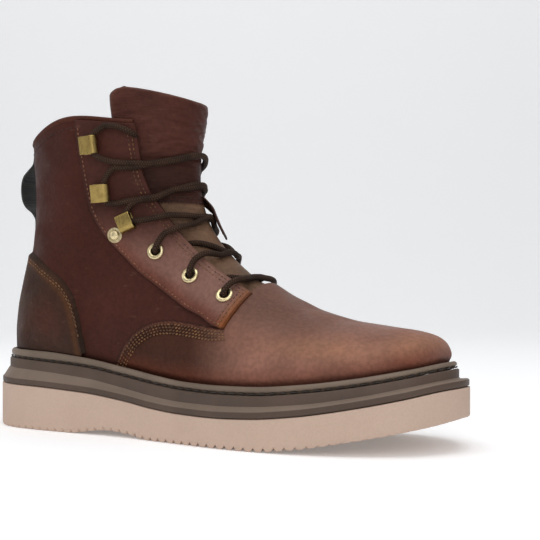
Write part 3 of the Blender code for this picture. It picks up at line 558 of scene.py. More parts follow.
def new_thread(name, colour, second_colour):
    """Waxed thread: a twisted strand with a slight shine, a little uneven in colour."""
    material, tree, shader = new_material(name, colour, 0.5)
    place = add_node(tree, "ShaderNodeTexCoord").outputs["Object"]
    uneven = spread_out(tree, add_noise(tree, place, 260, 2), 0.35, 0.65, 0.0, 1.0)
    shade = mix_colours(tree, "MIX", uneven, (*linear(*colour), 1), (*linear(*second_colour), 1))
    tree.links.new(shade, shader.inputs["Base Color"])
    twist = add_node(tree, "ShaderNodeTexWave", Vector=place, Scale=900.0, Distortion=2.0)
    add_bump(tree, shader, twist.outputs["Fac"], 0.00012)
    return material


welt_thread = new_thread("welt_thread", (50, 40, 32), (34, 27, 22))
groove = sole_loop(WELT_INSET + 0.0001, midsole_top, SOLE_HALF, 0.0009)
sew("welt_stitches", [np.concatenate([groove, groove[:1]])], welt_thread,
    WELT_STITCH_PITCH, WELT_STITCH_LENGTH, WELT_STITCH_WIDTH)

# The insole and the lining.
# A woven lining is glued inside the leather, and a flat textile insole lies on the bottom. They show only
# through the collar.

UPPER_WALL = 0.0022

# The outer face of the leather. Each row is one section of the last: it hangs from a point on the ridge, the
# line over the toe, the instep and the front of the shaft, and ends on the feather line where the leather
# meets the sole or, behind the heel, on the back seam.
LAST_SECTIONS = [
    # ridge_x, ridge_z, foot_x, rise, outer, inner, widest, shoulder, lift
    (0.2915, 0.0434, 0.2915, 0.0000, 0.0010, 0.0010, 0.40, 2.30, 0.0000),
    (0.2922, 0.0475, 0.2904, 0.0000, 0.0080, 0.0092, 0.40, 2.30, 0.0000),
    (0.2918, 0.0522, 0.2876, 0.0000, 0.0150, 0.0164, 0.40, 2.30, 0.0000),
    (0.2893, 0.0565, 0.2830, 0.0000, 0.0222, 0.0230, 0.40, 2.30, 0.0000),
    (0.2842, 0.0597, 0.2770, 0.0000, 0.0278, 0.0290, 0.38, 2.25, 0.0000),
    (0.2760, 0.0618, 0.2690, 0.0000, 0.0330, 0.0346, 0.36, 2.20, 0.0000),
    (0.2645, 0.0633, 0.2580, 0.0000, 0.0384, 0.0402, 0.34, 2.15, 0.0000),
    (0.2500, 0.0650, 0.2430, 0.0000, 0.0420, 0.0438, 0.32, 2.10, 0.0000),
    (0.2340, 0.0676, 0.2260, 0.0000, 0.0448, 0.0458, 0.30, 2.00, 0.0000),
    (0.2175, 0.0722, 0.2070, 0.0000, 0.0460, 0.0455, 0.28, 1.90, 0.0000),
    (0.2020, 0.0790, 0.1870, 0.0000, 0.0452, 0.0422, 0.27, 1.85, 0.0000),
    (0.1870, 0.0875, 0.1660, 0.0000, 0.0425, 0.0382, 0.26, 1.80, 0.0000),
    (0.1735, 0.0970, 0.1440, 0.0000, 0.0388, 0.0338, 0.26, 1.80, 0.0000),
    (0.1620, 0.1070, 0.1210, 0.0000, 0.0358, 0.0312, 0.27, 1.80, 0.0000),
    (0.1530, 0.1172, 0.0970, 0.0000, 0.0338, 0.0306, 0.29, 1.82, 0.0000),
    (0.1470, 0.1268, 0.0730, 0.0000, 0.0330, 0.0308, 0.31, 1.86, 0.0000),
    (0.1440, 0.1350, 0.0520, 0.0000, 0.0330, 0.0320, 0.33, 1.90, 0.0000),
    (0.1425, 0.1415, 0.0350, 0.0000, 0.0330, 0.0322, 0.35, 1.94, 0.0000),
    (0.1418, 0.1465, 0.0230, 0.0000, 0.0331, 0.0324, 0.37, 1.98, 0.0000),
    (0.1415, 0.1505, 0.0150, 0.0000, 0.0333, 0.0327, 0.38, 2.00, 0.0000),
    (0.1414, 0.1530, 0.0113, 0.0000, 0.0335, 0.0330, 0.39, 2.02, 0.0000),
    (0.1413, 0.1565, 0.0106, 0.0110, 0.0338, 0.0334, 0.41, 2.05, 0.0000),
    (0.1413, 0.1600, 0.0120, 0.0250, 0.0342, 0.0339, 0.43, 2.08, 0.0000),
    (0.1414, 0.1640, 0.0160, 0.0410, 0.0348, 0.0346, 0.44, 2.10, 0.0000),
    (0.1416, 0.1680, 0.0205, 0.0570, 0.0355, 0.0354, 0.45, 2.10, 0.0000),
    (0.1418, 0.1715, 0.0235, 0.0730, 0.0363, 0.0362, 0.46, 2.10, 0.0006),
    (0.1420, 0.1745, 0.0250, 0.0890, 0.0370, 0.0370, 0.47, 2.10, 0.0018),
    (0.1424, 0.1772, 0.0250, 0.1050, 0.0378, 0.0378, 0.47, 2.10, 0.0038),
    (0.1428, 0.1796, 0.0242, 0.1180, 0.0385, 0.0385, 0.47, 2.10, 0.0060),
    (0.1432, 0.1820, 0.0235, 0.1305, 0.0390, 0.0390, 0.47, 2.10, 0.0082),
    (0.1440, 0.1890, 0.0230, 0.1405, 0.0394, 0.0394, 0.47, 2.10, 0.0082),
    (0.1447, 0.1965, 0.0230, 0.1505, 0.0397, 0.0397, 0.47, 2.10, 0.0082),
]
# How far the throat reaches to each side, at a section counted in rows of LAST_SECTIONS.
THROAT = [
    # row, half_width
    (10.9, 0.0200),
    (12.0, 0.0190),
    (14.0, 0.0183),
    (17.0, 0.0202),
    (20.4, 0.0230),
    (22.0, 0.0252),
    (24.2, 0.0287),
    (26.2, 0.0309),
    (29.0, 0.0334),
]
THROAT_ROW = 11
HEEL_ROW = 20
COLLAR_ROW = 29
RIDGE_TO_INNER_SIDE = 0.0020
FEATHER_LIFT = 0.0003

throat_half = columns(THROAT)[0]


def half_width_at(inset):
    """Functions that give the sole's half width, outer and inner, at a distance from the heel's back."""

    def reader(line):
        order = np.maximum.accumulate(line[:, 0])
        return lambda x: np.interp(x, order, np.abs(line[:, 1]))

    return [reader(line) for line in edge_halves(inset)]


FEATHER_OUTER, FEATHER_INNER = half_width_at(FEATHER_INSET)
FEATHER_HEEL, FEATHER_TOE = (float(edge_halves(FEATHER_INSET)[0][end, 0]) for end in (0, -1))
FEATHER_TOE_Y = float(edge_halves(FEATHER_INSET)[0][-1, 1])
RIDGE_X, RIDGE_Z, FOOT_X, RISE, OUTER, INNER, WIDEST, SHOULDER, LIFT = [
    flow(range(len(LAST_SECTIONS)), column) for column in zip(*LAST_SECTIONS)
]


def section(row, side, samples=200):
    """One half of a section from the ridge down, and how far each of its points is along it.

    row counts the rows of LAST_SECTIONS and may lie between two. side is -1 on the outer side and 1 on the
    inner side.
    """
    foot_x = float(FOOT_X(row))
    if row <= HEEL_ROW:
        foot_x = float(np.clip(foot_x, FEATHER_HEEL, FEATHER_TOE))
    foot_z = float(midsole_top(foot_x)) + FEATHER_LIFT + float(RISE(row))
    foot_half = float((FEATHER_OUTER if side < 0 else FEATHER_INNER)(foot_x)) if row < HEEL_ROW else 0.0
    widest = max(float(OUTER(row) if side < 0 else INNER(row)), foot_half + 0.0006)
    level = float(WIDEST(row))
    reach = level / math.sqrt(1 - (foot_half / widest) ** 2)
    turn = np.linspace(0, math.pi / 2, samples // 2)
    above = level + (1 - level) * np.cos(turn)
    below = level * (1 - np.sin(turn[1:]))
    height = np.concatenate([above, below])
    over = np.clip((above - level) / (1 - level), 0, 1) ** float(SHOULDER(row))
    under = np.clip((level - below) / reach, 0, 1) ** 2
    half = widest * np.sqrt(np.clip(1 - np.concatenate([over, under]), 0, 1))
    x = foot_x + (float(RIDGE_X(row)) - foot_x) * height
    z = foot_z + (float(RIDGE_Z(row)) - foot_z) * height
    z = z + float(LIFT(row)) * np.sin(math.pi * height**0.75) ** 3
    y = RIDGE_TO_INNER_SIDE * height + side * half
    if row <= 0:
        y = np.full_like(y, FEATHER_TOE_Y)
    line = np.stack([x, y, z], axis=1)
    gone = np.concatenate([[0], np.cumsum(np.linalg.norm(np.diff(line, axis=0), axis=1))])
    return line, gone


def on_section(row, side, shares):
    """Points of the leather's outer face at shares of the way from the ridge down one half of a section."""
    line, gone = section(row, side)
    return np.stack([np.interp(np.asarray(shares) * gone[-1], gone, line[:, k]) for k in range(3)], axis=-1)


def share_at_height(row, side, height):
    """The share at which a section crosses a height that is given as a function of from_heel."""
    line, gone = section(row, side)
    above = line[:, 2] - np.array([height(x) for x in line[:, 0]])
    below = np.nonzero(above <= 0)[0]
    if len(below) == 0:
        return 1.0
    if below[0] == 0:
        return 0.0
    before, after = below[0] - 1, below[0]
    part = above[before] / (above[before] - above[after])
    return float((gone[before] + part * (gone[after] - gone[before])) / gone[-1])


def throat_share(row, side):
    """The share at which a section's upper part reaches the edge of the throat."""
    line, gone = section(row, side)
    reached = np.abs(line[:, 1] - line[0, 1])
    widest = int(np.argmax(reached))
    return float(np.interp(float(throat_half(row)), reached[: widest + 1], gone[: widest + 1]) / gone[-1])


def leather_grid(rows, shares_of):
    """Points of the leather's face, a row of them a section, from the outer side over to the inner one.

    shares_of gives the signed shares of a section: negative ones lie on the outer side.
    """
    grid, marks = [], []
    for row in rows:
        shares = np.asarray(shares_of(row), float)
        outer = on_section(row, -1, np.abs(shares))
        inner = on_section(row, 1, np.abs(shares))
        grid.append(np.where((shares < 0)[:, None], outer, inner))
        marks.append(np.column_stack([np.full(len(shares), row), shares]))
    return np.array(grid), np.array(marks)


def outward(grid):
    """The direction out of the boot at each point of a grid."""
    along = np.gradient(grid, axis=0)
    across = np.gradient(grid, axis=1)
    normal = np.cross(across, along)
    return normal / np.maximum(np.linalg.norm(normal, axis=2), 1e-12)[:, :, None]


def grid_faces(rows, count, keep=None):
    """The faces of a grid that turn outwards. keep says which of them there are."""
    return [
        (i * count + j, i * count + j + 1, (i + 1) * count + j + 1, (i + 1) * count + j)
        for i in range(rows - 1)
        for j in range(count - 1)
        if keep is None or keep(i, j)
    ]


def woven(name, colour, second_colour, weave):
    """Plain cloth: two shades of yarn crossing, weave threads to the metre."""
    material, tree, shader = new_material(name, colour, 0.9)
    place = add_node(tree, "ShaderNodeTexCoord").outputs["Object"]
    warp = add_node(tree, "ShaderNodeTexWave", Vector=place, Scale=weave / 6.28, Distortion=0.6)
    warp.bands_direction = "Z"
    weft = add_node(tree, "ShaderNodeTexWave", Vector=place, Scale=weave / 6.28, Distortion=0.6)
    weft.bands_direction = "X"
    crossing = add_node(tree, "ShaderNodeMath")
    crossing.operation = "MULTIPLY"
    tree.links.new(warp.outputs["Fac"], crossing.inputs[0])
    tree.links.new(weft.outputs["Fac"], crossing.inputs[1])
    shade = mix_colours(tree, "MIX", crossing.outputs[0], (*linear(*second_colour), 1), (*linear(*colour), 1))
    clouds = spread_out(tree, add_noise(tree, place, 45, 3), 0.3, 0.7, 0.8, 1.1)
    tone = add_node(tree, "ShaderNodeCombineColor", Red=clouds, Green=clouds, Blue=clouds)
    tree.links.new(mix_colours(tree, "MULTIPLY", 1.0, shade, tone.outputs[0]), shader.inputs["Base Color"])
    shader.inputs["Sheen Weight"].default_value = 0.25
    add_bump(tree, shader, crossing.outputs[0], 0.0002)
    return material


lining_cloth = woven("lining_cloth", (118, 92, 70), (84, 64, 50), weave=1400)
bpy.data.objects["insole"].data.materials.clear()
bpy.data.objects["insole"].data.materials.append(lining_cloth)

lining_rows = np.concatenate([np.linspace(0.3, 11, 40)[:-1], np.linspace(11, 29, 60)])
LINING_RIDGE = 5
LINING_SIDE = 26


def lining_shares(row):
    """Signed shares over the lining: the closed part of the vamp and then the two sides."""
    edges = [throat_share(max(row, THROAT_ROW), side) for side in (-1, 1)]
    outer = -np.linspace(1, edges[0], LINING_SIDE + 1)
    inner = np.linspace(edges[1], 1, LINING_SIDE + 1)
    middle = np.linspace(-edges[0], edges[1], 2 * LINING_RIDGE + 1)[1:-1]
    return np.concatenate([outer, middle, inner])


lining_grid = leather_grid(lining_rows, lining_shares)[0]
lining_grid = lining_grid - outward(lining_grid) * UPPER_WALL
lining_count = lining_grid.shape[1]


def lining_kept(i, j):
    """The lining is open at the throat, and closed over the toes."""
    return lining_rows[i] < THROAT_ROW - 0.001 or not LINING_SIDE <= j < lining_count - 1 - LINING_SIDE


lining_faces = [face[::-1] for face in grid_faces(len(lining_rows), lining_count, lining_kept)]
add_piece("lining", lining_grid.reshape(-1, 3), lining_faces, lining_cloth)

# The upper.
# One smooth full-grain hide is cut as vamp and quarters. The vamp's wings lie over the quarters and are sewn
# down with four rows, and the hide is oiled, so that it goes paler where it is pulled over the last. Its
# colour also carries painted highlights on the toe, and painted shade along the vamp's edge and above the
# welt.

VAMP_STEP = 0.0009
# The edge of the vamp: which row it reaches at each share of the section.
VAMP_WING = [
    # share, row
    (0.00, 12.40),
    (0.40, 12.40),
    (0.52, 10.95),
    (0.57, 10.95),
    (0.58, 11.30),
    (0.59, 12.10),
    (0.61, 12.80),
    (0.65, 13.30),
    (0.70, 13.60),
    (0.77, 13.80),
    (1.00, 13.90),
]
# Rows of stitches on the vamp's wings, counted from their edge.
WING_ROWS = 4
WING_FIRST_ROW = 0.0016
WING_ROW_PITCH = 0.0017
SEAM_SINK = 0.00016
THREAD_LIFT = 0.0001
# Soft hollows and swells: over the toes, across the bend of the foot, round the ankle and under the collar.
HIDE_SWELLS = [
    # from_heel, height, wide, tall, lean, depth
    (0.205, 0.066, 0.022, 0.0030, -0.9, -0.00035),
    (0.214, 0.062, 0.024, 0.0030, -0.9, 0.00030),
    (0.224, 0.058, 0.022, 0.0030, -0.9, -0.00030),
    (0.090, 0.098, 0.030, 0.0045, -0.45, -0.00045),
    (0.085, 0.106, 0.030, 0.0045, -0.40, 0.00040),
    (0.080, 0.116, 0.026, 0.0050, -0.30, -0.00045),
    (0.065, 0.135, 0.030, 0.0060, -0.15, -0.00035),
    (0.050, 0.150, 0.026, 0.0050, -0.10, 0.00030),
    (0.120, 0.060, 0.020, 0.0060, -0.30, -0.00030),
    (0.045, 0.128, 0.020, 0.0040, 0.10, -0.00040),
    (0.255, 0.052, 0.016, 0.0060, -0.20, -0.00020),
]
RIDGE_COLUMNS = 14
SIDE_COLUMNS = 84
EYELETS = [(11.6, 0.35), (13.2, 0.33), (15.2, 0.32)]
EYELET_CUT = 0.0030

wing_row = flow(*zip(*VAMP_WING))
upper_rows = np.concatenate([
    np.linspace(0, 5, 50)[:-1],
    np.linspace(5, 9, 50)[:-1],
    np.linspace(9, 11, 34)[:-1],
    np.linspace(11, 16, 84)[:-1],
    np.linspace(16, 20, 44)[:-1],
    np.linspace(20, 29, 84),
])


def upper_shares(row):
    """Signed shares over the upper: outer side, the closed part over the ridge, and the inner side."""
    edges = [throat_share(max(row, THROAT_ROW), side) for side in (-1, 1)]
    outer = -np.linspace(1, edges[0], SIDE_COLUMNS + 1)
    inner = np.linspace(edges[1], 1, SIDE_COLUMNS + 1)
    middle = np.linspace(-edges[0], edges[1], 2 * RIDGE_COLUMNS + 1)[1:-1]
    return np.concatenate([outer, middle, inner])


def point_above(row, share, lift):
    """A point at a height above the leather's outer face, at a signed share."""

    def at(r, s):
        return on_section(r, -1 if s < 0 else 1, abs(s))

    along = at(row + 0.05, share) - at(row - 0.05, share)
    across = at(row, share + 0.004) - at(row, share - 0.004)
    outwards = np.cross(across, along)
    return at(row, share) + outwards / np.linalg.norm(outwards) * lift


def ease(value, low, high):
    """0 below low, 1 above high and smooth between."""
    part = np.clip((value - low) / (high - low), 0, 1)
    return part * part * (3 - 2 * part)


def spot(grid, x, z, across, tall, lean=0.0):
    """1 at a place seen from the side, fading to 0 over the given half sizes. lean tips it, in radians."""
    dx, dz = grid[..., 0] - x, grid[..., 2] - z
    u = dx * math.cos(lean) + dz * math.sin(lean)
    v = dz * math.cos(lean) - dx * math.sin(lean)
    return np.exp(-((u / across) ** 2) - (v / tall) ** 2)


def distance_to(grid, line):
    """How far each point of a grid is from a line, in metres."""
    flat = grid.reshape(-1, 3)
    nearest = np.full(len(flat), 1.0)
    for a, b in zip(line[:-1], line[1:]):
        span = b - a
        part = np.clip(((flat - a) @ span) / max(span @ span, 1e-12), 0, 1)
        nearest = np.minimum(nearest, np.linalg.norm(flat - a - part[:, None] * span, axis=1))
    return nearest.reshape(grid.shape[:-1])


# The shares at which the wing's edge is drawn, closer where it turns.
WING_SHARES = (
    0.57, 0.578, 0.584, 0.59, 0.60, 0.61, 0.63, 0.65,
    0.675, 0.70, 0.73, 0.77, 0.82, 0.88, 0.94, 1.0,
)
wing_line = [(0.54, 10.95), *[(share, float(wing_row(share))) for share in WING_SHARES]]
wing_edges = {side: np.array([on_section(r, side, s) for s, r in wing_line]) for side in (-1, 1)}

upper_grid, upper_marks = leather_grid(upper_rows, upper_shares)
upper_out = outward(upper_grid)
row_mark, share_mark = upper_marks[..., 0], upper_marks[..., 1]
vamp_side = row_mark < wing_row(np.abs(share_mark))
outer_distance, inner_distance = (distance_to(upper_grid, wing_edges[side]) for side in (-1, 1))
wing_distance = np.where(share_mark < 0, outer_distance, inner_distance)
wing_distance = np.where(vamp_side, wing_distance, -wing_distance)
vamp = ease(wing_distance, -0.0004, 0.0005)
relief = VAMP_STEP * vamp * ease(30 - row_mark, 0, 1)
for number in range(WING_ROWS):
    seam_line = WING_FIRST_ROW + WING_ROW_PITCH * number
    relief -= SEAM_SINK * np.exp(-(((wing_distance - seam_line) / 0.0006) ** 2))
for x, z, wide, tall, lean, depth in HIDE_SWELLS:
    relief += depth * spot(upper_grid, x, z, wide, tall, lean)
relief += 0.00012 * np.sin(upper_grid[..., 0] * 260 + upper_grid[..., 2] * 190)
relief += 0.00010 * np.sin(upper_grid[..., 2] * 420 - upper_grid[..., 0] * 150 + 1.3)
relief *= ease(upper_grid[..., 2] - midsole_top(upper_grid[..., 0]), 0.0045, 0.0090)
upper_points = upper_grid + upper_out * relief[..., None]

QUARTER_BROWN = np.array(linear(63, 30, 23))
QUARTER_RED = np.array(linear(66, 33, 26))
VAMP_TAN = np.array(linear(132, 93, 79))
VAMP_GREY = np.array(linear(96, 68, 58))
VAMP_DARK = np.array(linear(60, 34, 24))
VAMP_PAINTED_HIGHLIGHT = np.array(linear(156, 110, 82))
BURNT = np.array(linear(98, 48, 32))


def tint(base, colour, share):
    """One colour laid over another by a share for each point."""
    return base + (np.asarray(colour) - base) * np.clip(share, 0, 1)[..., None]


shade = np.broadcast_to(QUARTER_BROWN, upper_grid.shape).copy()
shade = tint(shade, QUARTER_RED, 0.7 * spot(upper_grid, 0.105, 0.075, 0.05, 0.03))
hide = np.broadcast_to(VAMP_TAN, upper_grid.shape).copy()
hide = tint(hide, VAMP_GREY, 0.8 * spot(upper_grid, 0.200, 0.075, 0.035, 0.014, -0.4))
# Painted highlights of the toe's soft sheen: a paler streak across the toe and a small spot at its tip.
hide = tint(hide, VAMP_PAINTED_HIGHLIGHT, 0.45 * spot(upper_grid, 0.243, 0.053, 0.030, 0.0055, -0.05))
hide = tint(hide, BURNT, 0.45 * spot(upper_grid, 0.283, 0.047, 0.010, 0.007))
hide = tint(hide, VAMP_PAINTED_HIGHLIGHT, 0.5 * spot(upper_grid, 0.282, 0.056, 0.010, 0.005))
hide = tint(hide, VAMP_DARK, 1.0 * ease(0.178 - upper_grid[..., 0], -0.020, 0.022))
above_welt = upper_grid[..., 2] - welt_top(upper_grid[..., 0])
hide = tint(hide, BURNT, 0.6 * ease(0.0125 - above_welt, 0.0, 0.0125))
hide = tint(hide, VAMP_DARK, 0.8 * ease(0.0015 - np.abs(wing_distance), 0, 0.0012))
shade = shade + (hide - shade) * vamp[..., None]
# Painted shadow just outside the vamp's edge, where its step shades the quarter; painted highlight along the
# edge's top.
shade = tint(shade, linear(26, 14, 11), 0.75 * np.exp(-(((wing_distance + 0.0006) / 0.0006) ** 2)))
shade = tint(shade, linear(120, 78, 62), 0.45 * np.exp(-(((wing_distance - 0.0004) / 0.0005) ** 2)))
# Painted shade in the crease where the leather goes down into the welt.
shade = tint(shade, linear(40, 22, 17), 0.6 * ease(0.004 - above_welt, 0, 0.004))


def oiled_leather(name, roughness, coat, wrinkle=(1, 1, 1), wrinkle_depth=0.0002, contrast=0.22):
    """Oiled full-grain leather: its points' colours with painted light and shade, cloudy wear, fine pores,
    soft wrinkles.
    """
    material, tree, shader = new_material(name, (100, 60, 48), roughness)
    place = add_node(tree, "ShaderNodeTexCoord").outputs["Object"]
    painted = add_node(tree, "ShaderNodeAttribute")
    painted.attribute_name = "colour_and_painted_light"
    clouds = spread_out(tree, add_noise(tree, place, 34, 5), 0.32, 0.68, 1 - contrast, 1 + contrast * 0.7)
    fine = spread_out(tree, add_noise(tree, place, 420, 5), 0.35, 0.65, 0.90, 1.09)
    tone = add_node(tree, "ShaderNodeMath")
    tone.operation = "MULTIPLY"
    tree.links.new(clouds, tone.inputs[0])
    tree.links.new(fine, tone.inputs[1])
    level = tone.outputs[0]
    grey = add_node(tree, "ShaderNodeCombineColor", Red=level, Green=level, Blue=level)
    worn = mix_colours(tree, "MULTIPLY", 1.0, painted.outputs["Color"], grey.outputs[0])
    scuff = spread_out(tree, add_noise(tree, place, 120, 7, (1, 1, 2.5)), 0.62, 0.76, 0.0, 0.16)
    scuffed = mix_colours(tree, "MIX", scuff, worn, (*linear(120, 88, 72), 1))
    tree.links.new(scuffed, shader.inputs["Base Color"])
    patchy = spread_out(tree, add_noise(tree, place, 70, 4), 0.3, 0.7, roughness - 0.09, roughness + 0.12)
    tree.links.new(patchy, shader.inputs["Roughness"])
    shader.inputs["Specular IOR Level"].default_value = 0.11
    shader.inputs["Specular Tint"].default_value = (1.0, 0.80, 0.70, 1)
    shader.inputs["Coat Weight"].default_value = coat
    shader.inputs["Coat Roughness"].default_value = 0.42
    soft = add_bump(tree, shader, add_noise(tree, place, 190, 5, wrinkle), wrinkle_depth)
    cells = add_node(tree, "ShaderNodeTexVoronoi", Vector=place, Scale=1300.0)
    cells.feature = "DISTANCE_TO_EDGE"
    pores = spread_out(tree, cells.outputs["Distance"], 0.0, 0.25, 0.0, 1.0)
    add_bump(tree, shader, pores, 0.00007, soft)
    return material


hide_leather = oiled_leather("hide_leather", roughness=0.50, coat=0.02, wrinkle=(1, 1, 1.7),
                             wrinkle_depth=0.00035, contrast=0.13)
upper_count = upper_grid.shape[1]
eyelet_places = [point_above(row, share * side, 0) for row, share in EYELETS for side in (-1, 1)]


def clear_of_eyelets(points):
    """Which points of a grid lie further from every eyelet than its punched hole."""
    apart = np.min([np.linalg.norm(points - place, axis=-1) for place in eyelet_places], axis=0)
    return apart > EYELET_CUT


upper_clear = clear_of_eyelets((upper_grid[:-1, :-1] + upper_grid[1:, 1:]) / 2)


def upper_kept(i, j):
    """The upper is open at the throat, and punched for the eyelets."""
    over_ridge = SIDE_COLUMNS <= j < upper_count - 1 - SIDE_COLUMNS
    return (upper_rows[i] < THROAT_ROW - 0.001 or not over_ridge) and upper_clear[i, j]


upper_faces = grid_faces(len(upper_rows), upper_count, upper_kept)
upper = add_piece("vamp_and_quarters", upper_points.reshape(-1, 3), upper_faces, hide_leather,
                  colour_and_painted_light=shade.reshape(-1, 3), sharp=80)
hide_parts("upper")


def tube(line, radius, sides):
    """A round rope along a line, with a UV map: round it, and along it in hundredths of a metre."""
    line = np.array(line, float)
    heading = np.gradient(line, axis=0)
    heading /= np.linalg.norm(heading, axis=1)[:, None]
    gone = np.concatenate([[0], np.cumsum(np.linalg.norm(np.diff(line, axis=0), axis=1))]) * 100
    side = np.cross(heading[0], [0, 0, 1.0])
    points, faces, uv = [], [], []
    for centre, direction in zip(line, heading):
        side = side - direction * np.dot(side, direction)
        side /= np.linalg.norm(side)
        up = np.cross(direction, side)
        for k in range(sides):
            angle = 2 * math.pi * k / sides
            points.append(centre + (side * math.cos(angle) + up * math.sin(angle)) * radius)
    for i in range(len(line) - 1):
        for k in range(sides):
            j = (k + 1) % sides
            faces.append((i * sides + k, i * sides + j, (i + 1) * sides + j, (i + 1) * sides + k))
            uv += [(k / sides, gone[i]), ((k + 1) / sides, gone[i])]
            uv += [((k + 1) / sides, gone[i + 1]), (k / sides, gone[i + 1])]
    last = (len(line) - 1) * sides
    faces += [tuple(range(sides))[::-1], tuple(range(last, last + sides))]
    uv += [(0, gone[0])] * sides + [(0, gone[-1])] * sides
    return points, faces, uv


# The collar's edge is turned over and rolled, and each side of the throat has a narrow turned edge.
ROLL_RADIUS = 0.0018
TURNED_RADIUS = 0.0012
collar_line = []
for side, order in ((-1, 1), (1, -1)):
    edge = throat_share(COLLAR_ROW - 0.02, side)
    shares = np.linspace(edge, 1, 70)[::order]
    for share in shares[(order < 0) :]:
        collar_line.append(point_above(COLLAR_ROW - 0.02, side * min(share, 0.995), -UPPER_WALL / 2))
roll_points, roll_faces, roll_uv = tube(collar_line, ROLL_RADIUS, 10)
roll_shade = np.broadcast_to(np.array(linear(72, 38, 28)), (len(roll_points), 3))
add_piece("collar_roll", roll_points, roll_faces, hide_leather,
          uv=roll_uv, colour_and_painted_light=roll_shade)
edge_points, edge_faces = [], []
for side in (-1, 1):
    line = []
    for row in np.linspace(THROAT_ROW, COLLAR_ROW - 0.02, 90):
        line.append(point_above(row, side * throat_share(row, side), -UPPER_WALL / 2))
    points, faces, uv = tube(line, TURNED_RADIUS, 8)
    first = len(edge_points)
    edge_points += points
    edge_faces += [tuple(first + k for k in face) for face in faces]
edge_shade = np.broadcast_to(np.array(linear(62, 36, 28)), (len(edge_points), 3))
add_piece("throat_edges", edge_points, edge_faces, hide_leather, colour_and_painted_light=edge_shade)

vamp_thread = new_thread("vamp_thread", (132, 92, 54), (78, 50, 30))
dark_thread = new_thread("dark_thread", (48, 29, 21), (34, 20, 15))
golden_thread = new_thread("golden_thread", (142, 96, 66), (104, 66, 44))


# One row of stitches runs just below the collar's roll.
collar_rows = []
for side in (-1, 1):
    shares = np.linspace(throat_share(28.6, side) + 0.03, 0.985, 60)
    collar_rows.append([point_above(28.45, side * s, THREAD_LIFT) for s in shares])
sew("collar_stitches", collar_rows, dark_thread,
    pitch=0.0032, length=0.0022, width=0.0006)

# The heel counter.
# A stiff piece of waxed leather is cut with a curved front edge, wrapped round the heel over the quarters and
# sewn on with two rows.

OVERLAY_GAP = 0.00085
OVERLAY_WALL = 0.0011
FACE_TOP = OVERLAY_GAP + OVERLAY_WALL
COUNTER_LINE = [
    # from_heel, height
    (0.0150, 0.1066),
    (0.0280, 0.1058),
    (0.0400, 0.1030),
    (0.0508, 0.0971),
    (0.0601, 0.0913),
    (0.0685, 0.0827),
    (0.0741, 0.0715),
    (0.0774, 0.0571),
    (0.0792, 0.0441),
]
counter_line = columns(COUNTER_LINE)[0]
counter_rows = np.concatenate([np.linspace(15, 20, 56)[:-1], np.linspace(20, 24, 48)])
COUNTER_COLUMNS = 44


def overlay(name, grid, keep, material, colour_and_painted_light, wall=OVERLAY_WALL, gap=OVERLAY_GAP):
    """A second layer of leather over a grid, with its cut edges rounded."""
    points = grid + outward(grid) * (gap + wall)
    faces = grid_faces(grid.shape[0], grid.shape[1], keep)
    piece = add_piece(name, points.reshape(-1, 3), faces, material,
                      colour_and_painted_light=colour_and_painted_light.reshape(-1, 3), sharp=80)
    thick = piece.modifiers.new("Wall", "SOLIDIFY")
    thick.thickness = wall + gap * 0.8
    thick.offset = -1
    rounding = piece.modifiers.new("Edge", "BEVEL")
    rounding.width = 0.0004
    rounding.segments = 2
    rounding.limit_method = "ANGLE"
    rounding.angle_limit = math.radians(60)
    return piece


def counter_shares(row):
    """Signed shares from the counter's lower edge up to its top, and down again on the other side."""
    made = []
    for side in (-1, 1):
        top = share_at_height(row, side, counter_line)
        base = share_at_height(row, side, lambda x: welt_top(x) + 0.0006)
        base = min(base, 0.9999)
        line = np.linspace(base, min(top, base - 0.002), COUNTER_COLUMNS + 1)
        made.append(-line if side < 0 else line[::-1])
    return np.concatenate(made)


counter_grid, counter_marks = leather_grid(counter_rows, counter_shares)
counter_distance = np.zeros(counter_grid.shape[:2])
for side in (-1, 1):
    edge = []
    for row in counter_rows:
        share = share_at_height(row, side, counter_line)
        if 0 < share < 1:
            edge.append(on_section(row, side, share))
    edge_line = spaced(edge, 60)
    half = (counter_marks[..., 1] < 0) == (side < 0)
    counter_distance = np.where(half, distance_to(counter_grid, edge_line), counter_distance)
counter_shade = np.broadcast_to(np.array(linear(54, 37, 30)), counter_grid.shape).copy()
counter_shade = tint(counter_shade, linear(76, 43, 34), 0.7 * spot(counter_grid, 0.052, 0.066, 0.020, 0.016))
counter_shade = tint(counter_shade, linear(88, 70, 60), 0.6 * spot(counter_grid, 0.020, 0.082, 0.012, 0.020))
worn_edge = np.exp(-(((counter_distance - 0.0035) / 0.0022) ** 2))
counter_shade = tint(counter_shade, linear(96, 60, 32), 0.55 * worn_edge)
counter_shade = tint(counter_shade, linear(36, 24, 18), 0.7 * ease(0.0014 - counter_distance, 0, 0.0012))
counter_leather = oiled_leather("counter_leather", roughness=0.58, coat=0.01,
                                wrinkle_depth=0.0004, contrast=0.20)


def counter_kept(i, j):
    """The two halves meet only at the back seam."""
    return j != COUNTER_COLUMNS


counter = overlay("heel_counter_wrap", counter_grid, counter_kept, counter_leather,
                  counter_shade)
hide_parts("heel_counter")

counter_seams = []
for side in (-1, 1):
    for inside in (0.0022, 0.0042):
        row_of_stitches = []
        for row in np.linspace(15.25, 23.4, 60):
            share = share_at_height(row, side, lambda x: counter_line(x) - inside)
            x_here = on_section(row, side, share)[0]
            if share < 1 and x_here < 0.079 - inside * 0.9:
                row_of_stitches.append(point_above(row, side * share, FACE_TOP + THREAD_LIFT))
        if len(row_of_stitches) > 3:
            counter_seams.append(row_of_stitches)
sew("counter_stitches", counter_seams, vamp_thread,
    pitch=0.0027, length=0.0018, width=0.0007)

# The facings.
# A strip of the same hide lies over the edge of each quarter and carries the eyelets and hooks. It ends in a
# thick point over the vamp, and a pale thread sews down its curved rear edge.

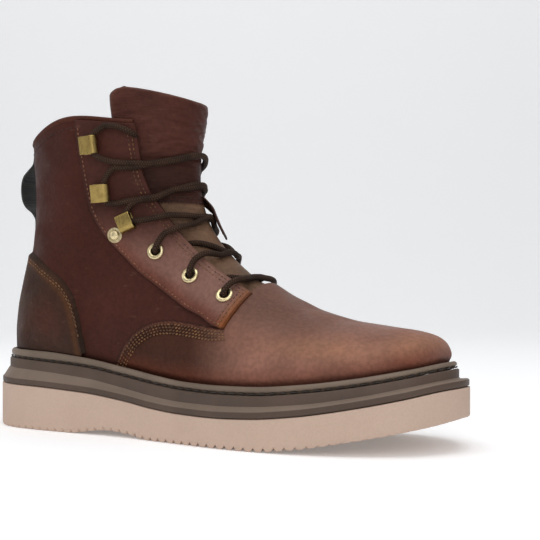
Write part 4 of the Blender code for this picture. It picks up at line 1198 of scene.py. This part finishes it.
FACING_FRONT_ROW = 10.9
FACING_LINE = [
    # from_heel, height
    (0.0780, 0.2000),
    (0.0800, 0.1718),
    (0.0818, 0.1605),
    (0.0840, 0.1453),
    (0.0860, 0.1329),
    (0.0898, 0.1230),
    (0.0969, 0.1126),
    (0.1075, 0.1027),
    (0.1176, 0.0940),
    (0.1283, 0.0872),
    (0.1394, 0.0805),
    (0.1514, 0.0736),
    (0.1630, 0.0689),
    (0.1711, 0.0647),
    (0.1800, 0.0620),
]
facing_line = columns(FACING_LINE)[0]
facing_rows = np.concatenate([
    np.linspace(FACING_FRONT_ROW, 16, 90)[:-1],
    np.linspace(16, 22, 50)[:-1],
    np.linspace(22, COLLAR_ROW - 0.15, 60),
])
FACING_COLUMNS = 42
facing_leather = oiled_leather("facing_leather", roughness=0.46, coat=0.06, contrast=0.16)


def make_facing(side):
    """One facing with its shades, its faces punched for the eyelets."""

    def shares(row):
        start = throat_share(row, side) - 0.004
        end = share_at_height(row, side, facing_line)
        line = np.linspace(start, end, FACING_COLUMNS + 1)
        return -line[::-1] if side < 0 else line

    grid = leather_grid(facing_rows, shares)[0]
    front = distance_to(grid, grid[0])
    rear = distance_to(grid, spaced(grid[:, 0 if side < 0 else -1], 60))
    throat = distance_to(grid, spaced(grid[:, -1 if side < 0 else 0], 60))
    tone = np.broadcast_to(np.array(linear(70, 37, 30)), grid.shape).copy()
    pale = ease(0.135 - grid[..., 2], 0, 0.045)
    tone = tint(tone, linear(122, 88, 78), pale)
    tone = tint(tone, linear(94, 46, 33), 0.85 * pale * ease(0.0115 - rear, 0, 0.0105))
    tone = tint(tone, linear(128, 74, 34), 0.85 * ease(0.0085 - front, 0, 0.0085))
    tone = tint(tone, linear(84, 42, 15), 0.9 * ease(0.0022 - front, 0, 0.0012))
    tone = tint(tone, linear(40, 22, 16), 0.7 * ease(0.0012 - rear, 0, 0.001))
    tone = tint(tone, linear(96, 62, 46), 0.6 * pale * ease(0.0016 - throat, 0, 0.0012))
    clear = clear_of_eyelets((grid[:-1, :-1] + grid[1:, 1:]) / 2)
    name = "facing_outer" if side < 0 else "facing_inner"
    piece = overlay(name + "_strip", grid, lambda i, j: clear[i, j], facing_leather, tone)
    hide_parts(name)


make_facing(-1)
make_facing(1)

pale_seams, dark_seams = [], []
for side in (-1, 1):
    seam = []
    for row in np.linspace(FACING_FRONT_ROW + 0.25, 28.3, 120):
        share = share_at_height(row, side, facing_line)
        line, gone = section(row, side)
        seam.append(point_above(row, side * (share - 0.0019 / gone[-1]), FACE_TOP + THREAD_LIFT))
    pale_seams.append(seam)
    for inside in (0.0020, 0.0042):
        along_throat = []
        for row in np.linspace(28.0, FACING_FRONT_ROW + 0.10 + inside * 60, 110):
            line, gone = section(row, side)
            share = throat_share(row, side) + inside / gone[-1]
            along_throat.append(point_above(row, side * share, FACE_TOP + THREAD_LIFT))
        row = FACING_FRONT_ROW + 0.10 + inside * 60
        start = throat_share(row, side)
        end = share_at_height(row, side, facing_line)
        for share in np.linspace(start + inside / 0.13, end - 0.02, 20):
            along_throat.append(point_above(row, side * share, FACE_TOP + THREAD_LIFT))
        dark_seams.append(along_throat)
sew("facing_rear_stitches", pale_seams, golden_thread,
    pitch=0.0027, length=0.0017, width=0.0008)
sew("facing_edge_stitches", dark_seams, vamp_thread,
    pitch=0.0026, length=0.0018, width=0.0007)

# The rows on the vamp's wings run inside their edge.
wing_seams = []
for side in (-1, 1):
    for number in range(WING_ROWS):
        inside = WING_FIRST_ROW + WING_ROW_PITCH * number
        line = []
        for share, row in wing_line[1:]:
            base = on_section(row, side, share)
            along_row = on_section(row - 0.05, side, share) - base
            across_row = on_section(row, side, min(share + 0.004, 1.0)) - on_section(row, side, share - 0.004)
            index = wing_line.index((share, row))
            before, after = wing_line[index - 1], wing_line[min(index + 1, len(wing_line) - 1)]
            heading = on_section(after[1], side, after[0]) - on_section(before[1], side, before[0])
            heading /= np.linalg.norm(heading)
            normal = np.cross(across_row, along_row)
            normal /= np.linalg.norm(normal)
            inwards = np.cross(normal, heading)
            over_vamp = along_row / np.linalg.norm(along_row) + across_row / np.linalg.norm(across_row)
            if np.dot(inwards, over_vamp) < 0:
                inwards = -inwards
            clear_share = min(share, 0.99)
            sewn = point_above(row, side * clear_share, VAMP_STEP + THREAD_LIFT)
            out = sewn - on_section(row, side, clear_share)
            line.append(base + inwards * inside + out)
        wing_seams.append(line)
sew("wing_stitches", wing_seams, vamp_thread,
    pitch=0.0023, length=0.0019, width=0.0010, slant=0.45)

# The tongue.
# A padded tongue is sewn in at the front of the throat: supple leather at the top, where it wrinkles, over a
# lower part of plain cloth.

UNDER_UPPER = UPPER_WALL + 0.0012
TONGUE_THICKNESS = 0.0050
TONGUE_WIDTH = [
    # row, share
    (10.0, 0.22),
    (12.0, 0.30),
    (17.0, 0.30),
    (24.0, 0.36),
    (29.0, 0.39),
    (30.3, 0.40),
    (30.8, 0.375),
    (31.0, 0.34),
]
# The deep wrinkles across the leather at the top.
TONGUE_WRINKLES = [
    # across, height, wide, tall, lean, depth
    (-0.010, 0.186, 0.016, 0.0011, 0.10, -0.0007),
    (-0.016, 0.181, 0.013, 0.0010, -0.15, -0.0008),
    (0.004, 0.182, 0.014, 0.0011, 0.12, -0.0006),
    (-0.006, 0.176, 0.020, 0.0012, 0.05, -0.0009),
    (0.010, 0.173, 0.012, 0.0011, -0.10, -0.0006),
    (-0.014, 0.171, 0.012, 0.0010, 0.18, -0.0007),
    (-0.002, 0.167, 0.018, 0.0012, -0.06, -0.0008),
    (0.004, 0.161, 0.016, 0.0012, 0.10, -0.0006),
    (-0.010, 0.158, 0.014, 0.0012, -0.12, -0.0007),
]
TONGUE_COLUMNS = 64
tongue_share = columns(TONGUE_WIDTH)[0]
tongue_rows = np.concatenate([np.linspace(10, 30, 150)[:-1], np.linspace(30, 31, 14)])


def tongue_shares(row):
    """Signed shares from one edge of the tongue to the other."""
    return np.linspace(-1, 1, TONGUE_COLUMNS + 1) * float(tongue_share(row))


tongue_grid, tongue_marks = leather_grid(tongue_rows, tongue_shares)
tongue_out = outward(tongue_grid)
from_side = 1 - np.abs(np.linspace(-1, 1, TONGUE_COLUMNS + 1))[None, :] * np.ones((len(tongue_rows), 1))
side_distance = from_side * (tongue_share(tongue_rows) * 0.10)[:, None]
top_distance = np.linalg.norm(tongue_grid - tongue_grid[-1][None], axis=2)
edge_distance = np.minimum(side_distance, top_distance)
fullness = np.sqrt(np.clip(1 - (1 - np.clip(edge_distance / 0.0030, 0, 1)) ** 2, 0, 1))
wrinkles = np.zeros(tongue_grid.shape[:2])
for y, z, wide, tall, lean, depth in TONGUE_WRINKLES:
    dy, dz = tongue_grid[..., 1] - y, tongue_grid[..., 2] - z
    u = dy * math.cos(lean) + dz * math.sin(lean)
    v = dz * math.cos(lean) - dy * math.sin(lean)
    wrinkles += depth * np.exp(-((u / wide) ** 2) - (v / tall) ** 2)
fine_waves = 0.00035 * np.sin(tongue_grid[..., 2] * 900 + 6 * np.sin(tongue_grid[..., 1] * 120))
wrinkles += fine_waves * ease(tongue_grid[..., 2], 0.150, 0.170) * 0.5
lean_over = ease(tongue_marks[..., 0], 27.0, 31.0)
tongue_grid[..., 2] += lean_over * (0.0066 * ease(-tongue_marks[..., 1], -0.02, 0.32) - 0.0024)
middle = tongue_grid - tongue_out * (UNDER_UPPER + TONGUE_THICKNESS / 2)
half_thick = (TONGUE_THICKNESS / 2 * np.maximum(fullness, 0.02))[..., None]
tongue_top = middle + tongue_out * (half_thick + (wrinkles * fullness)[..., None])
tongue_under = middle - tongue_out * half_thick
tongue_count = TONGUE_COLUMNS + 1
top_faces = grid_faces(len(tongue_rows), tongue_count)
offset = len(tongue_rows) * tongue_count
tongue_faces = top_faces + [tuple(offset + k for k in face)[::-1] for face in top_faces]
border = list(range(tongue_count))
border += [i * tongue_count + tongue_count - 1 for i in range(1, len(tongue_rows))]
border += [(len(tongue_rows) - 1) * tongue_count + j for j in range(tongue_count - 2, -1, -1)]
border += [i * tongue_count for i in range(len(tongue_rows) - 2, 0, -1)]
for a, b in zip(border, border[1:] + border[:1]):
    tongue_faces.append((b, a, offset + a, offset + b))
leather_part = ease(tongue_grid[..., 2], 0.1345, 0.1355)
tongue_shade = np.broadcast_to(np.array(linear(104, 79, 61)), tongue_grid.shape).copy()
tongue_shade = tongue_shade + (np.array(linear(72, 39, 32)) - tongue_shade) * leather_part[..., None]
# Painted shade on the tongue's leather low down, between the facings and under the laces.
shade_under_laces = ease(0.170 - tongue_grid[..., 2], 0, 0.02)
tongue_shade = tint(tongue_shade, linear(42, 25, 20), 0.6 * shade_under_laces * leather_part)
rubbed = 0.5 * ease(0.004 - edge_distance, 0, 0.004)
tongue_shade = tint(tongue_shade, linear(96, 60, 48), rubbed * leather_part)
tongue_leather = oiled_leather("tongue_leather", roughness=0.46, coat=0.04, wrinkle=(0.5, 0.5, 2.4),
                               wrinkle_depth=0.0013, contrast=0.26)
tongue = add_piece("padded_tongue", np.concatenate([tongue_top.reshape(-1, 3), tongue_under.reshape(-1, 3)]),
                   tongue_faces, tongue_leather,
                   colour_and_painted_light=np.concatenate([tongue_shade.reshape(-1, 3)] * 2), sharp=80)
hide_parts("tongue")

tongue_seam = []
for depth in (0.0, 0.0022):
    line = []
    for share in np.linspace(-0.27, 0.27, 40):
        side = -1 if share < 0 else 1
        rows_here = np.linspace(12, 22, 120)
        heights = [on_section(row, side, abs(share))[2] for row in rows_here]
        row = float(np.interp(0.1362 + depth, heights, rows_here))
        line.append(point_above(row, share, -UNDER_UPPER + THREAD_LIFT))
    tongue_seam.append(line)
sew("tongue_stitches", tongue_seam, dark_thread,
    pitch=0.0030, length=0.0020, width=0.0007)

# The eyelets.
# Brass eyelets are pressed through the facings in three pairs: a domed ring on the face and a barrel through
# the hole.

EYELET_OUTER = 0.0050
EYELET_HOLE = 0.0024
BARREL_LENGTH = 0.0046


def polished_brass(name, colour, roughness):
    """Brass with fine handling scratches and slightly tarnished patches."""
    material, tree, shader = new_material(name, colour, roughness)
    shader.inputs["Metallic"].default_value = 1.0
    place = add_node(tree, "ShaderNodeTexCoord").outputs["Object"]
    tarnish = spread_out(tree, add_noise(tree, place, 240, 4), 0.45, 0.75, 0.0, 0.55)
    shade = mix_colours(tree, "MIX", tarnish, (*linear(*colour), 1), (*linear(128, 106, 58), 1))
    tree.links.new(shade, shader.inputs["Base Color"])
    streaks = add_noise(tree, place, 900, 4, (1, 1, 0.2))
    brushed = spread_out(tree, streaks, 0.3, 0.7, roughness - 0.08, roughness + 0.12)
    tree.links.new(brushed, shader.inputs["Roughness"])
    add_bump(tree, shader, streaks, 0.00002)
    return material


eyelet_brass = polished_brass("eyelet_brass", (220, 203, 160), roughness=0.34)
hook_brass = polished_brass("hook_brass", (164, 140, 84), roughness=0.32)


def make_eyelet_tree():
    """A tree that presses one eyelet at each point, facing along the point's own direction."""
    tree = bpy.data.node_groups.new("pressed_eyelets", "GeometryNodeTree")
    tree.interface.new_socket("Places", in_out="INPUT", socket_type="NodeSocketGeometry")
    for name, default in (("Middle Radius", 0.0037), ("Rim Radius", 0.0013), ("Flatness", 0.6),
                          ("Hole Radius", 0.0024), ("Barrel Length", 0.0046)):
        socket = tree.interface.new_socket(name, in_out="INPUT", socket_type="NodeSocketFloat")
        socket.default_value = default
    tree.interface.new_socket("Metal", in_out="INPUT", socket_type="NodeSocketMaterial")
    tree.interface.new_socket("Eyelets", in_out="OUTPUT", socket_type="NodeSocketGeometry")
    start = tree.nodes.new("NodeGroupInput").outputs
    circle = add_node(tree, "GeometryNodeCurvePrimitiveCircle", Resolution=36, Radius=start["Middle Radius"])
    profile = add_node(tree, "GeometryNodeCurvePrimitiveCircle", Resolution=12, Radius=start["Rim Radius"])
    ring = add_node(tree, "GeometryNodeCurveToMesh", Curve=circle.outputs[0])
    tree.links.new(profile.outputs[0], ring.inputs["Profile Curve"])
    squash = add_node(tree, "ShaderNodeCombineXYZ", X=1.0, Y=1.0, Z=start["Flatness"])
    flat = add_node(tree, "GeometryNodeTransform", Geometry=ring.outputs[0], Scale=squash.outputs[0])
    barrel = tree.nodes.new("GeometryNodeMeshCylinder")
    barrel.fill_type = "NONE"
    barrel.inputs["Vertices"].default_value = 24
    tree.links.new(start["Hole Radius"], barrel.inputs["Radius"])
    tree.links.new(start["Barrel Length"], barrel.inputs["Depth"])
    half = add_node(tree, "ShaderNodeMath")
    half.operation = "MULTIPLY"
    half.inputs[1].default_value = -0.5
    tree.links.new(start["Barrel Length"], half.inputs[0])
    down = add_node(tree, "ShaderNodeCombineXYZ", Z=half.outputs[0])
    lowered = add_node(tree, "GeometryNodeTransform", Geometry=barrel.outputs["Mesh"],
                       Translation=down.outputs[0])
    both = tree.nodes.new("GeometryNodeJoinGeometry")
    tree.links.new(flat.outputs[0], both.inputs[0])
    tree.links.new(lowered.outputs[0], both.inputs[0])
    direction = tree.nodes.new("GeometryNodeInputNamedAttribute")
    direction.data_type = "FLOAT_VECTOR"
    direction.inputs["Name"].default_value = "facing"
    turned = tree.nodes.new("FunctionNodeAlignRotationToVector")
    turned.axis = "Z"
    tree.links.new(direction.outputs["Attribute"], turned.inputs["Vector"])
    placed = add_node(tree, "GeometryNodeInstanceOnPoints", Points=start["Places"], Instance=both.outputs[0],
                      Rotation=turned.outputs[0])
    real = add_node(tree, "GeometryNodeRealizeInstances", Geometry=placed.outputs[0])
    smooth = add_node(tree, "GeometryNodeSetShadeSmooth", Geometry=real.outputs[0])
    dyed = add_node(tree, "GeometryNodeSetMaterial", Geometry=smooth.outputs[0], Material=start["Metal"])
    tree.links.new(dyed.outputs[0], tree.nodes.new("NodeGroupOutput").inputs["Eyelets"])
    return tree


eyelet_seats, eyelet_directions = [], []
for row, share in EYELETS:
    for side in (-1, 1):
        seat = point_above(row, side * share, FACE_TOP + SEAT_GAP + 0.0003)
        eyelet_seats.append(seat)
        eyelet_directions.append(seat - point_above(row, side * share, 0))
eyelets = run_tree("eyelet_rings", make_eyelet_tree(), eyelet_seats, [], {
    "Middle Radius": (EYELET_OUTER + EYELET_HOLE) / 2,
    "Rim Radius": (EYELET_OUTER - EYELET_HOLE) / 2,
    "Flatness": 0.7,
    "Hole Radius": EYELET_HOLE,
    "Barrel Length": BARREL_LENGTH,
    "Metal": eyelet_brass,
}, attributes=[("facing", eyelet_directions)])
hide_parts(*[f"eyelet_{side}_{number}" for side in ("outer", "inner") for number in (1, 2, 3)])

# The lace hooks.
# Three pairs of speed hooks are bent from brass plate: the foot lies on the facing, and the plate folds back
# over the lace. The lowest pair is fixed by a round foot with a rivet.

HOOK_REACH = 0.0105
HOOK_PLATE = 0.0010
HOOK_OPENING = 0.0042
HOOKS = [
    # row, share, turn, seat, width
    (19.2, 0.295, 40, 0.0010, 0.0090),
    (23.9, 0.40, 14, 0.0004, 0.0105),
    (27.2, 0.45, 4, 0.0003, 0.0105),
]


def seat_frame(row, share, turn=0.0):
    """A place on the leather and three directions from it: towards the collar, across and outwards."""
    centre = point_above(row, share, 0.0)
    along = point_above(row + 0.05, share, 0.0) - point_above(row - 0.05, share, 0.0)
    outwards = point_above(row, share, 0.001) - centre
    outwards /= np.linalg.norm(outwards)
    along -= outwards * np.dot(along, outwards)
    along /= np.linalg.norm(along)
    across = np.cross(outwards, along)
    angle = math.radians(turn)
    return (centre, along * math.cos(angle) + across * math.sin(angle),
            across * math.cos(angle) - along * math.sin(angle), outwards)


def make_hook(name, row, share, turn, low, width):
    """One hook, bent from plate with a rounded fold and softened edges."""
    side = -1 if share < 0 else 1
    centre, along, across, outwards = seat_frame(row, share, -turn * side)
    rearwards = across * -side
    if rearwards[0] > 0:
        rearwards = -rearwards
    plate, reach = HOOK_PLATE, HOOK_REACH
    top = low + HOOK_OPENING + 2 * plate
    middle_line = [(reach, low + plate / 2)]
    for step in range(9):
        angle = math.pi * step / 8
        rise = low + plate / 2 + (top - low - plate) * (1 - math.cos(angle)) / 2
        middle_line.append((0.0030 - 0.0025 * math.sin(angle), rise))
    middle_line.append((reach * 0.80, top - plate / 2))
    middle_line += [(reach * 0.94, top - plate * 0.7), (reach, top - plate * 1.15)]
    middle_line = np.array(middle_line)
    heading = np.gradient(middle_line, axis=0)
    heading /= np.linalg.norm(heading, axis=1)[:, None]
    aside = np.stack([-heading[:, 1], heading[:, 0]], axis=1) * plate / 2
    points = []
    for edge in (-0.5, 0.5):
        for x, h in np.concatenate([middle_line + aside, (middle_line - aside)[::-1]]):
            points.append(centre + rearwards * (x - reach / 2) + along * width * edge
                          + outwards * (FACE_TOP + SEAT_GAP + h))
    count = len(middle_line) * 2
    faces = [(i, (i + 1) % count, (i + 1) % count + count, i + count) for i in range(count)]
    for i in range(len(middle_line) - 1):
        quad = (i, i + 1, count - 2 - i, count - 1 - i)
        faces += [quad, tuple(k + count for k in quad)[::-1]]
    piece = add_piece(name + "_plate", points, faces, hook_brass, recalculate=True, sharp=50)
    rounding = piece.modifiers.new("Edge", "BEVEL")
    rounding.width = 0.0003
    rounding.segments = 2
    rounding.limit_method = "ANGLE"
    rounding.angle_limit = math.radians(50)
    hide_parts(name)


for number, (row, share, turn, seat, width) in enumerate(HOOKS, start=1):
    make_hook(f"hook_outer_{number}", row, -share, turn, seat, width)
    make_hook(f"hook_inner_{number}", row, share, turn, seat, width)

# The lowest hooks have a round foot with a rivet: its row and share, and its profile from the rim inwards.
RIVET_PLACE = (19.15, 0.352)
FOOT_PROFILE = [
    # radius, height
    (0.0040, -0.0004),
    (0.0046, -0.0003),
    (0.0046, 0.0006),
    (0.0043, 0.0009),
    (0.0031, 0.0009),
    (0.0029, 0.0013),
    (0.0022, 0.0019),
    (0.0011, 0.0022),
]
FOOT_POINTS = 32
for side, name in ((-1, "hook_outer_1_foot"), (1, "hook_inner_1_foot")):
    centre, along, across, outwards = seat_frame(RIVET_PLACE[0], side * RIVET_PLACE[1])
    foot_points = []
    for radius, height in FOOT_PROFILE:
        for k in range(FOOT_POINTS):
            angle = 2 * math.pi * k / FOOT_POINTS
            spoke = along * math.cos(angle) + across * math.sin(angle)
            foot_points.append(centre + spoke * radius + outwards * (FACE_TOP + height))
    foot_faces = ring_faces(FOOT_POINTS, len(FOOT_PROFILE))
    last = (len(FOOT_PROFILE) - 1) * FOOT_POINTS
    foot_faces += [tuple(range(FOOT_POINTS))[::-1], tuple(range(last, last + FOOT_POINTS))]
    add_piece(name, foot_points, foot_faces, eyelet_brass, recalculate=True, sharp=40)

# The laces.
# One round braided lace of dark cotton goes down the boot: it comes up out of each eyelet, crosses over the
# tongue and goes under the other facing, and higher up it is hooked from side to side.

LACE_RADIUS = 0.00175
LACE_SIDES = 12
# Section, signed share of it (negative on the outer side) and height over the leather. A strand's twin is
# its mirror image.
STRANDS = [
    [
        (11.6, -0.352, -0.0035),
        (11.6, -0.350, 0.0015),
        (11.62, -0.335, 0.0054),
        (11.6, -0.27, 0.0056),
        (11.5, -0.18, 0.0030),
        (11.55, -0.08, -0.0006),
        (11.55, 0.04, -0.0014),
        (11.7, 0.13, -0.0016),
        (12.1, 0.18, -0.0028),
        (12.5, 0.24, -0.0048),
    ],
    [
        (13.2, -0.332, -0.0035),
        (13.2, -0.330, 0.0015),
        (13.25, -0.315, 0.0054),
        (13.4, -0.25, 0.0054),
        (13.35, -0.20, 0.0046),
        (13.2, -0.14, 0.0004),
        (13.0, -0.09, -0.0010),
        (13.0, 0.02, -0.0015),
        (13.6, 0.10, -0.0016),
        (14.1, 0.145, -0.0026),
        (14.6, 0.20, -0.0048),
    ],
    [
        (15.2, -0.322, -0.0035),
        (15.2, -0.320, 0.0015),
        (15.25, -0.305, 0.0054),
        (15.5, -0.24, 0.0055),
        (15.3, -0.19, 0.0048),
        (15.1, -0.13, 0.0006),
        (15.0, -0.08, -0.0010),
        (15.2, 0.05, -0.0012),
        (15.9, 0.13, 0.0008),
        (16.5, 0.18, 0.0046),
        (17.4, 0.24, 0.0056),
        (18.4, 0.275, 0.0058),
        (19.4, 0.295, 0.0060),
        (20.6, 0.285, 0.0058),
        (21.4, 0.26, 0.0056),
        (21.0, 0.225, 0.0050),
        (20.0, 0.17, 0.0028),
        (18.6, 0.09, -0.0010),
        (17.8, -0.04, -0.0012),
        (19.4, -0.13, 0.0006),
        (20.8, -0.205, 0.0050),
        (21.8, -0.27, 0.0056),
        (22.3, -0.32, 0.0056),
        (22.9, -0.365, 0.0056),
        (23.7, -0.392, 0.0056),
        (24.6, -0.388, 0.0056),
        (25.2, -0.355, 0.0056),
        (24.9, -0.32, 0.0056),
        (24.5, -0.27, 0.0048),
        (24.0, -0.20, 0.0002),
        (23.0, -0.07, -0.0010),
        (22.8, 0.05, -0.0010),
        (23.8, 0.19, 0.0000),
        (24.8, 0.27, 0.0048),
        (25.4, 0.33, 0.0056),
        (25.9, 0.38, 0.0056),
        (26.5, 0.425, 0.0056),
        (27.1, 0.446, 0.0056),
    ],
]
LACE_END = [
    (27.1, 0.446, 0.0056),
    (27.7, 0.440, 0.0052),
    (28.3, 0.405, 0.0046),
    (28.5, 0.385, 0.0046),
    (28.50, 0.355, 0.0047),
    (28.3, 0.325, 0.0050),
    (27.9, 0.298, 0.0040),
    (27.4, 0.284, 0.0005),
    (26.9, 0.290, -0.0036),
    (26.4, 0.315, -0.0056),
]


def braided_cord(name, colour, second_colour):
    """A round braid: two sets of yarns that wind round the cord and cross, read from its UV map."""
    material, tree, shader = new_material(name, colour, 0.75)
    place = add_node(tree, "ShaderNodeTexCoord")
    split = add_node(tree, "ShaderNodeSeparateXYZ", Vector=place.outputs["UV"])
    ways = []
    for sign in (1, -1):
        turn = add_node(tree, "ShaderNodeMath")
        turn.operation = "MULTIPLY"
        tree.links.new(split.outputs["X"], turn.inputs[0])
        turn.inputs[1].default_value = 4.0 * sign
        climb = add_node(tree, "ShaderNodeMath")
        climb.operation = "MULTIPLY_ADD"
        tree.links.new(split.outputs["Y"], climb.inputs[0])
        climb.inputs[1].default_value = 7.0
        tree.links.new(turn.outputs[0], climb.inputs[2])
        wave = add_node(tree, "ShaderNodeMath")
        wave.operation = "PINGPONG"
        tree.links.new(climb.outputs[0], wave.inputs[0])
        wave.inputs[1].default_value = 0.5
        ways.append(wave.outputs[0])
    weave = add_node(tree, "ShaderNodeMath")
    weave.operation = "MULTIPLY"
    tree.links.new(ways[0], weave.inputs[0])
    tree.links.new(ways[1], weave.inputs[1])
    level = spread_out(tree, weave.outputs[0], 0.0, 0.20, 0.0, 1.0)
    shade = mix_colours(tree, "MIX", level, (*linear(*second_colour), 1), (*linear(*colour), 1))
    clouds = spread_out(tree, add_noise(tree, place.outputs["Object"], 90, 3), 0.3, 0.7, 0.72, 1.25)
    tone = add_node(tree, "ShaderNodeCombineColor", Red=clouds, Green=clouds, Blue=clouds)
    tree.links.new(mix_colours(tree, "MULTIPLY", 1.0, shade, tone.outputs[0]), shader.inputs["Base Color"])
    shader.inputs["Specular IOR Level"].default_value = 0.15
    add_bump(tree, shader, level, 0.00022)
    return material


lace_braid = braided_cord("lace_braid", (76, 54, 40), (34, 22, 15))


def lace_route(marks, side, count):
    """A smooth route over the boot through section marks, or through their mirror image."""
    knots = np.arange(len(marks))
    rows, shares, lifts = (flow(knots, column) for column in zip(*marks))
    at = np.linspace(0, len(marks) - 1, count)
    line = np.array([point_above(float(rows(t)), side * float(shares(t)), float(lifts(t))) for t in at])
    for _ in range(3):
        line[1:-1] = line[1:-1] * 0.5 + (line[:-2] + line[2:]) * 0.25
    return spaced(line, count)


lace_points, lace_faces, lace_uv = [], [], []
for strand in STRANDS:
    for side in (1, -1):
        route = lace_route(strand, side, len(strand) * 9)
        points, faces, uv = tube(route, LACE_RADIUS, LACE_SIDES)
        first = len(lace_points)
        lace_points += points
        lace_faces += [tuple(first + k for k in face) for face in faces]
        lace_uv += uv
laces = add_piece("laces", lace_points, lace_faces, lace_braid, uv=lace_uv, sharp=80)
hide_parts(*[f"lace_crossing_{number}" for number in range(1, 6)])

for name, side in (("lace_end_outer", -1), ("lace_end_inner", 1)):
    route = lace_route(LACE_END, side, 64)
    points, faces, uv = tube(route, LACE_RADIUS, LACE_SIDES)
    end = add_piece(name + "_cord", points, faces, lace_braid, uv=uv, sharp=80)
    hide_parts(name)

# The lace keeper.
# A short strap of the tongue's leather is sewn to the tongue and hangs down over a crossing of the laces, so
# that they stay on the middle of the tongue.

KEEPER_MIDDLE = 0.060
KEEPER_HALF = 0.036
KEEPER_WALL = 0.0011
KEEPER_LIFTS = [
    # row, height over the leather
    (13.9, 0.0002),
    (14.4, 0.0008),
    (15.0, 0.0012),
    (15.6, 0.0010),
    (16.2, -0.0010),
    (16.8, -0.0036),
]
keeper_rows = np.linspace(KEEPER_LIFTS[0][0], KEEPER_LIFTS[-1][0], 34)
keeper_lift = columns(KEEPER_LIFTS)[0]
keeper_shares = KEEPER_MIDDLE + np.linspace(-KEEPER_HALF, KEEPER_HALF, 13)
keeper_grid = leather_grid(keeper_rows, lambda row: keeper_shares)[0]
keeper_grid = keeper_grid + outward(keeper_grid) * keeper_lift(keeper_rows)[:, None, None]
keeper_shade = np.broadcast_to(np.array(linear(58, 34, 27)), keeper_grid.shape).copy()
overlay("lace_keeper", keeper_grid, None, tongue_leather, keeper_shade,
        wall=KEEPER_WALL, gap=0.0)

# The pull loop.
# A loop of black webbing is sewn to the back seam at both ends, to pull the boot on by.

WEBBING_WIDTH = 0.016
WEBBING_THICKNESS = 0.0016
PULL_LOOP = [
    # from_heel, height
    (0.0232, 0.1200),
    (0.0233, 0.1270),
    (0.0205, 0.1320),
    (0.0150, 0.1360),
    (0.0121, 0.1415),
    (0.0115, 0.1480),
    (0.0130, 0.1545),
    (0.0175, 0.1590),
    (0.0215, 0.1630),
    (0.0224, 0.1700),
]
webbing_cloth = woven("webbing_cloth", (44, 46, 40), (20, 21, 18), weave=1700)
knots = np.arange(len(PULL_LOOP))
loop_x, loop_z = (flow(knots, column) for column in zip(*PULL_LOOP))
at = np.linspace(0, len(PULL_LOOP) - 1, 70)
loop_line = np.stack([loop_x(at), loop_z(at)], axis=1)
for _ in range(4):
    loop_line[1:-1] = loop_line[1:-1] * 0.5 + (loop_line[:-2] + loop_line[2:]) * 0.25
loop_ahead = np.gradient(loop_line, axis=0)
loop_across = np.stack([loop_ahead[:, 1], -loop_ahead[:, 0]], axis=1)
loop_across /= np.linalg.norm(loop_across, axis=1)[:, None]
web_profile = [(-1, -0.6), (-0.9, -1), (0.9, -1), (1, -0.6), (1, 0.6), (0.9, 1), (-0.9, 1), (-1, 0.6)]
loop_points, loop_faces = [], []
for centre, out in zip(loop_line, loop_across):
    for across_share, thick_share in web_profile:
        x, z = centre + out * thick_share * WEBBING_THICKNESS / 2
        loop_points.append((x, across_share * WEBBING_WIDTH / 2, z))
for i in range(len(loop_line) - 1):
    for j in range(8):
        k = (j + 1) % 8
        loop_faces.append((8 * i + j, 8 * i + k, 8 * i + 8 + k, 8 * i + 8 + j))
last = 8 * (len(loop_line) - 1)
loop_faces += [tuple(range(8))[::-1], tuple(range(last, last + 8))]
pull_loop = add_piece("pull_loop_webbing", loop_points, loop_faces, webbing_cloth,
                      recalculate=True)
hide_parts("pull_loop")
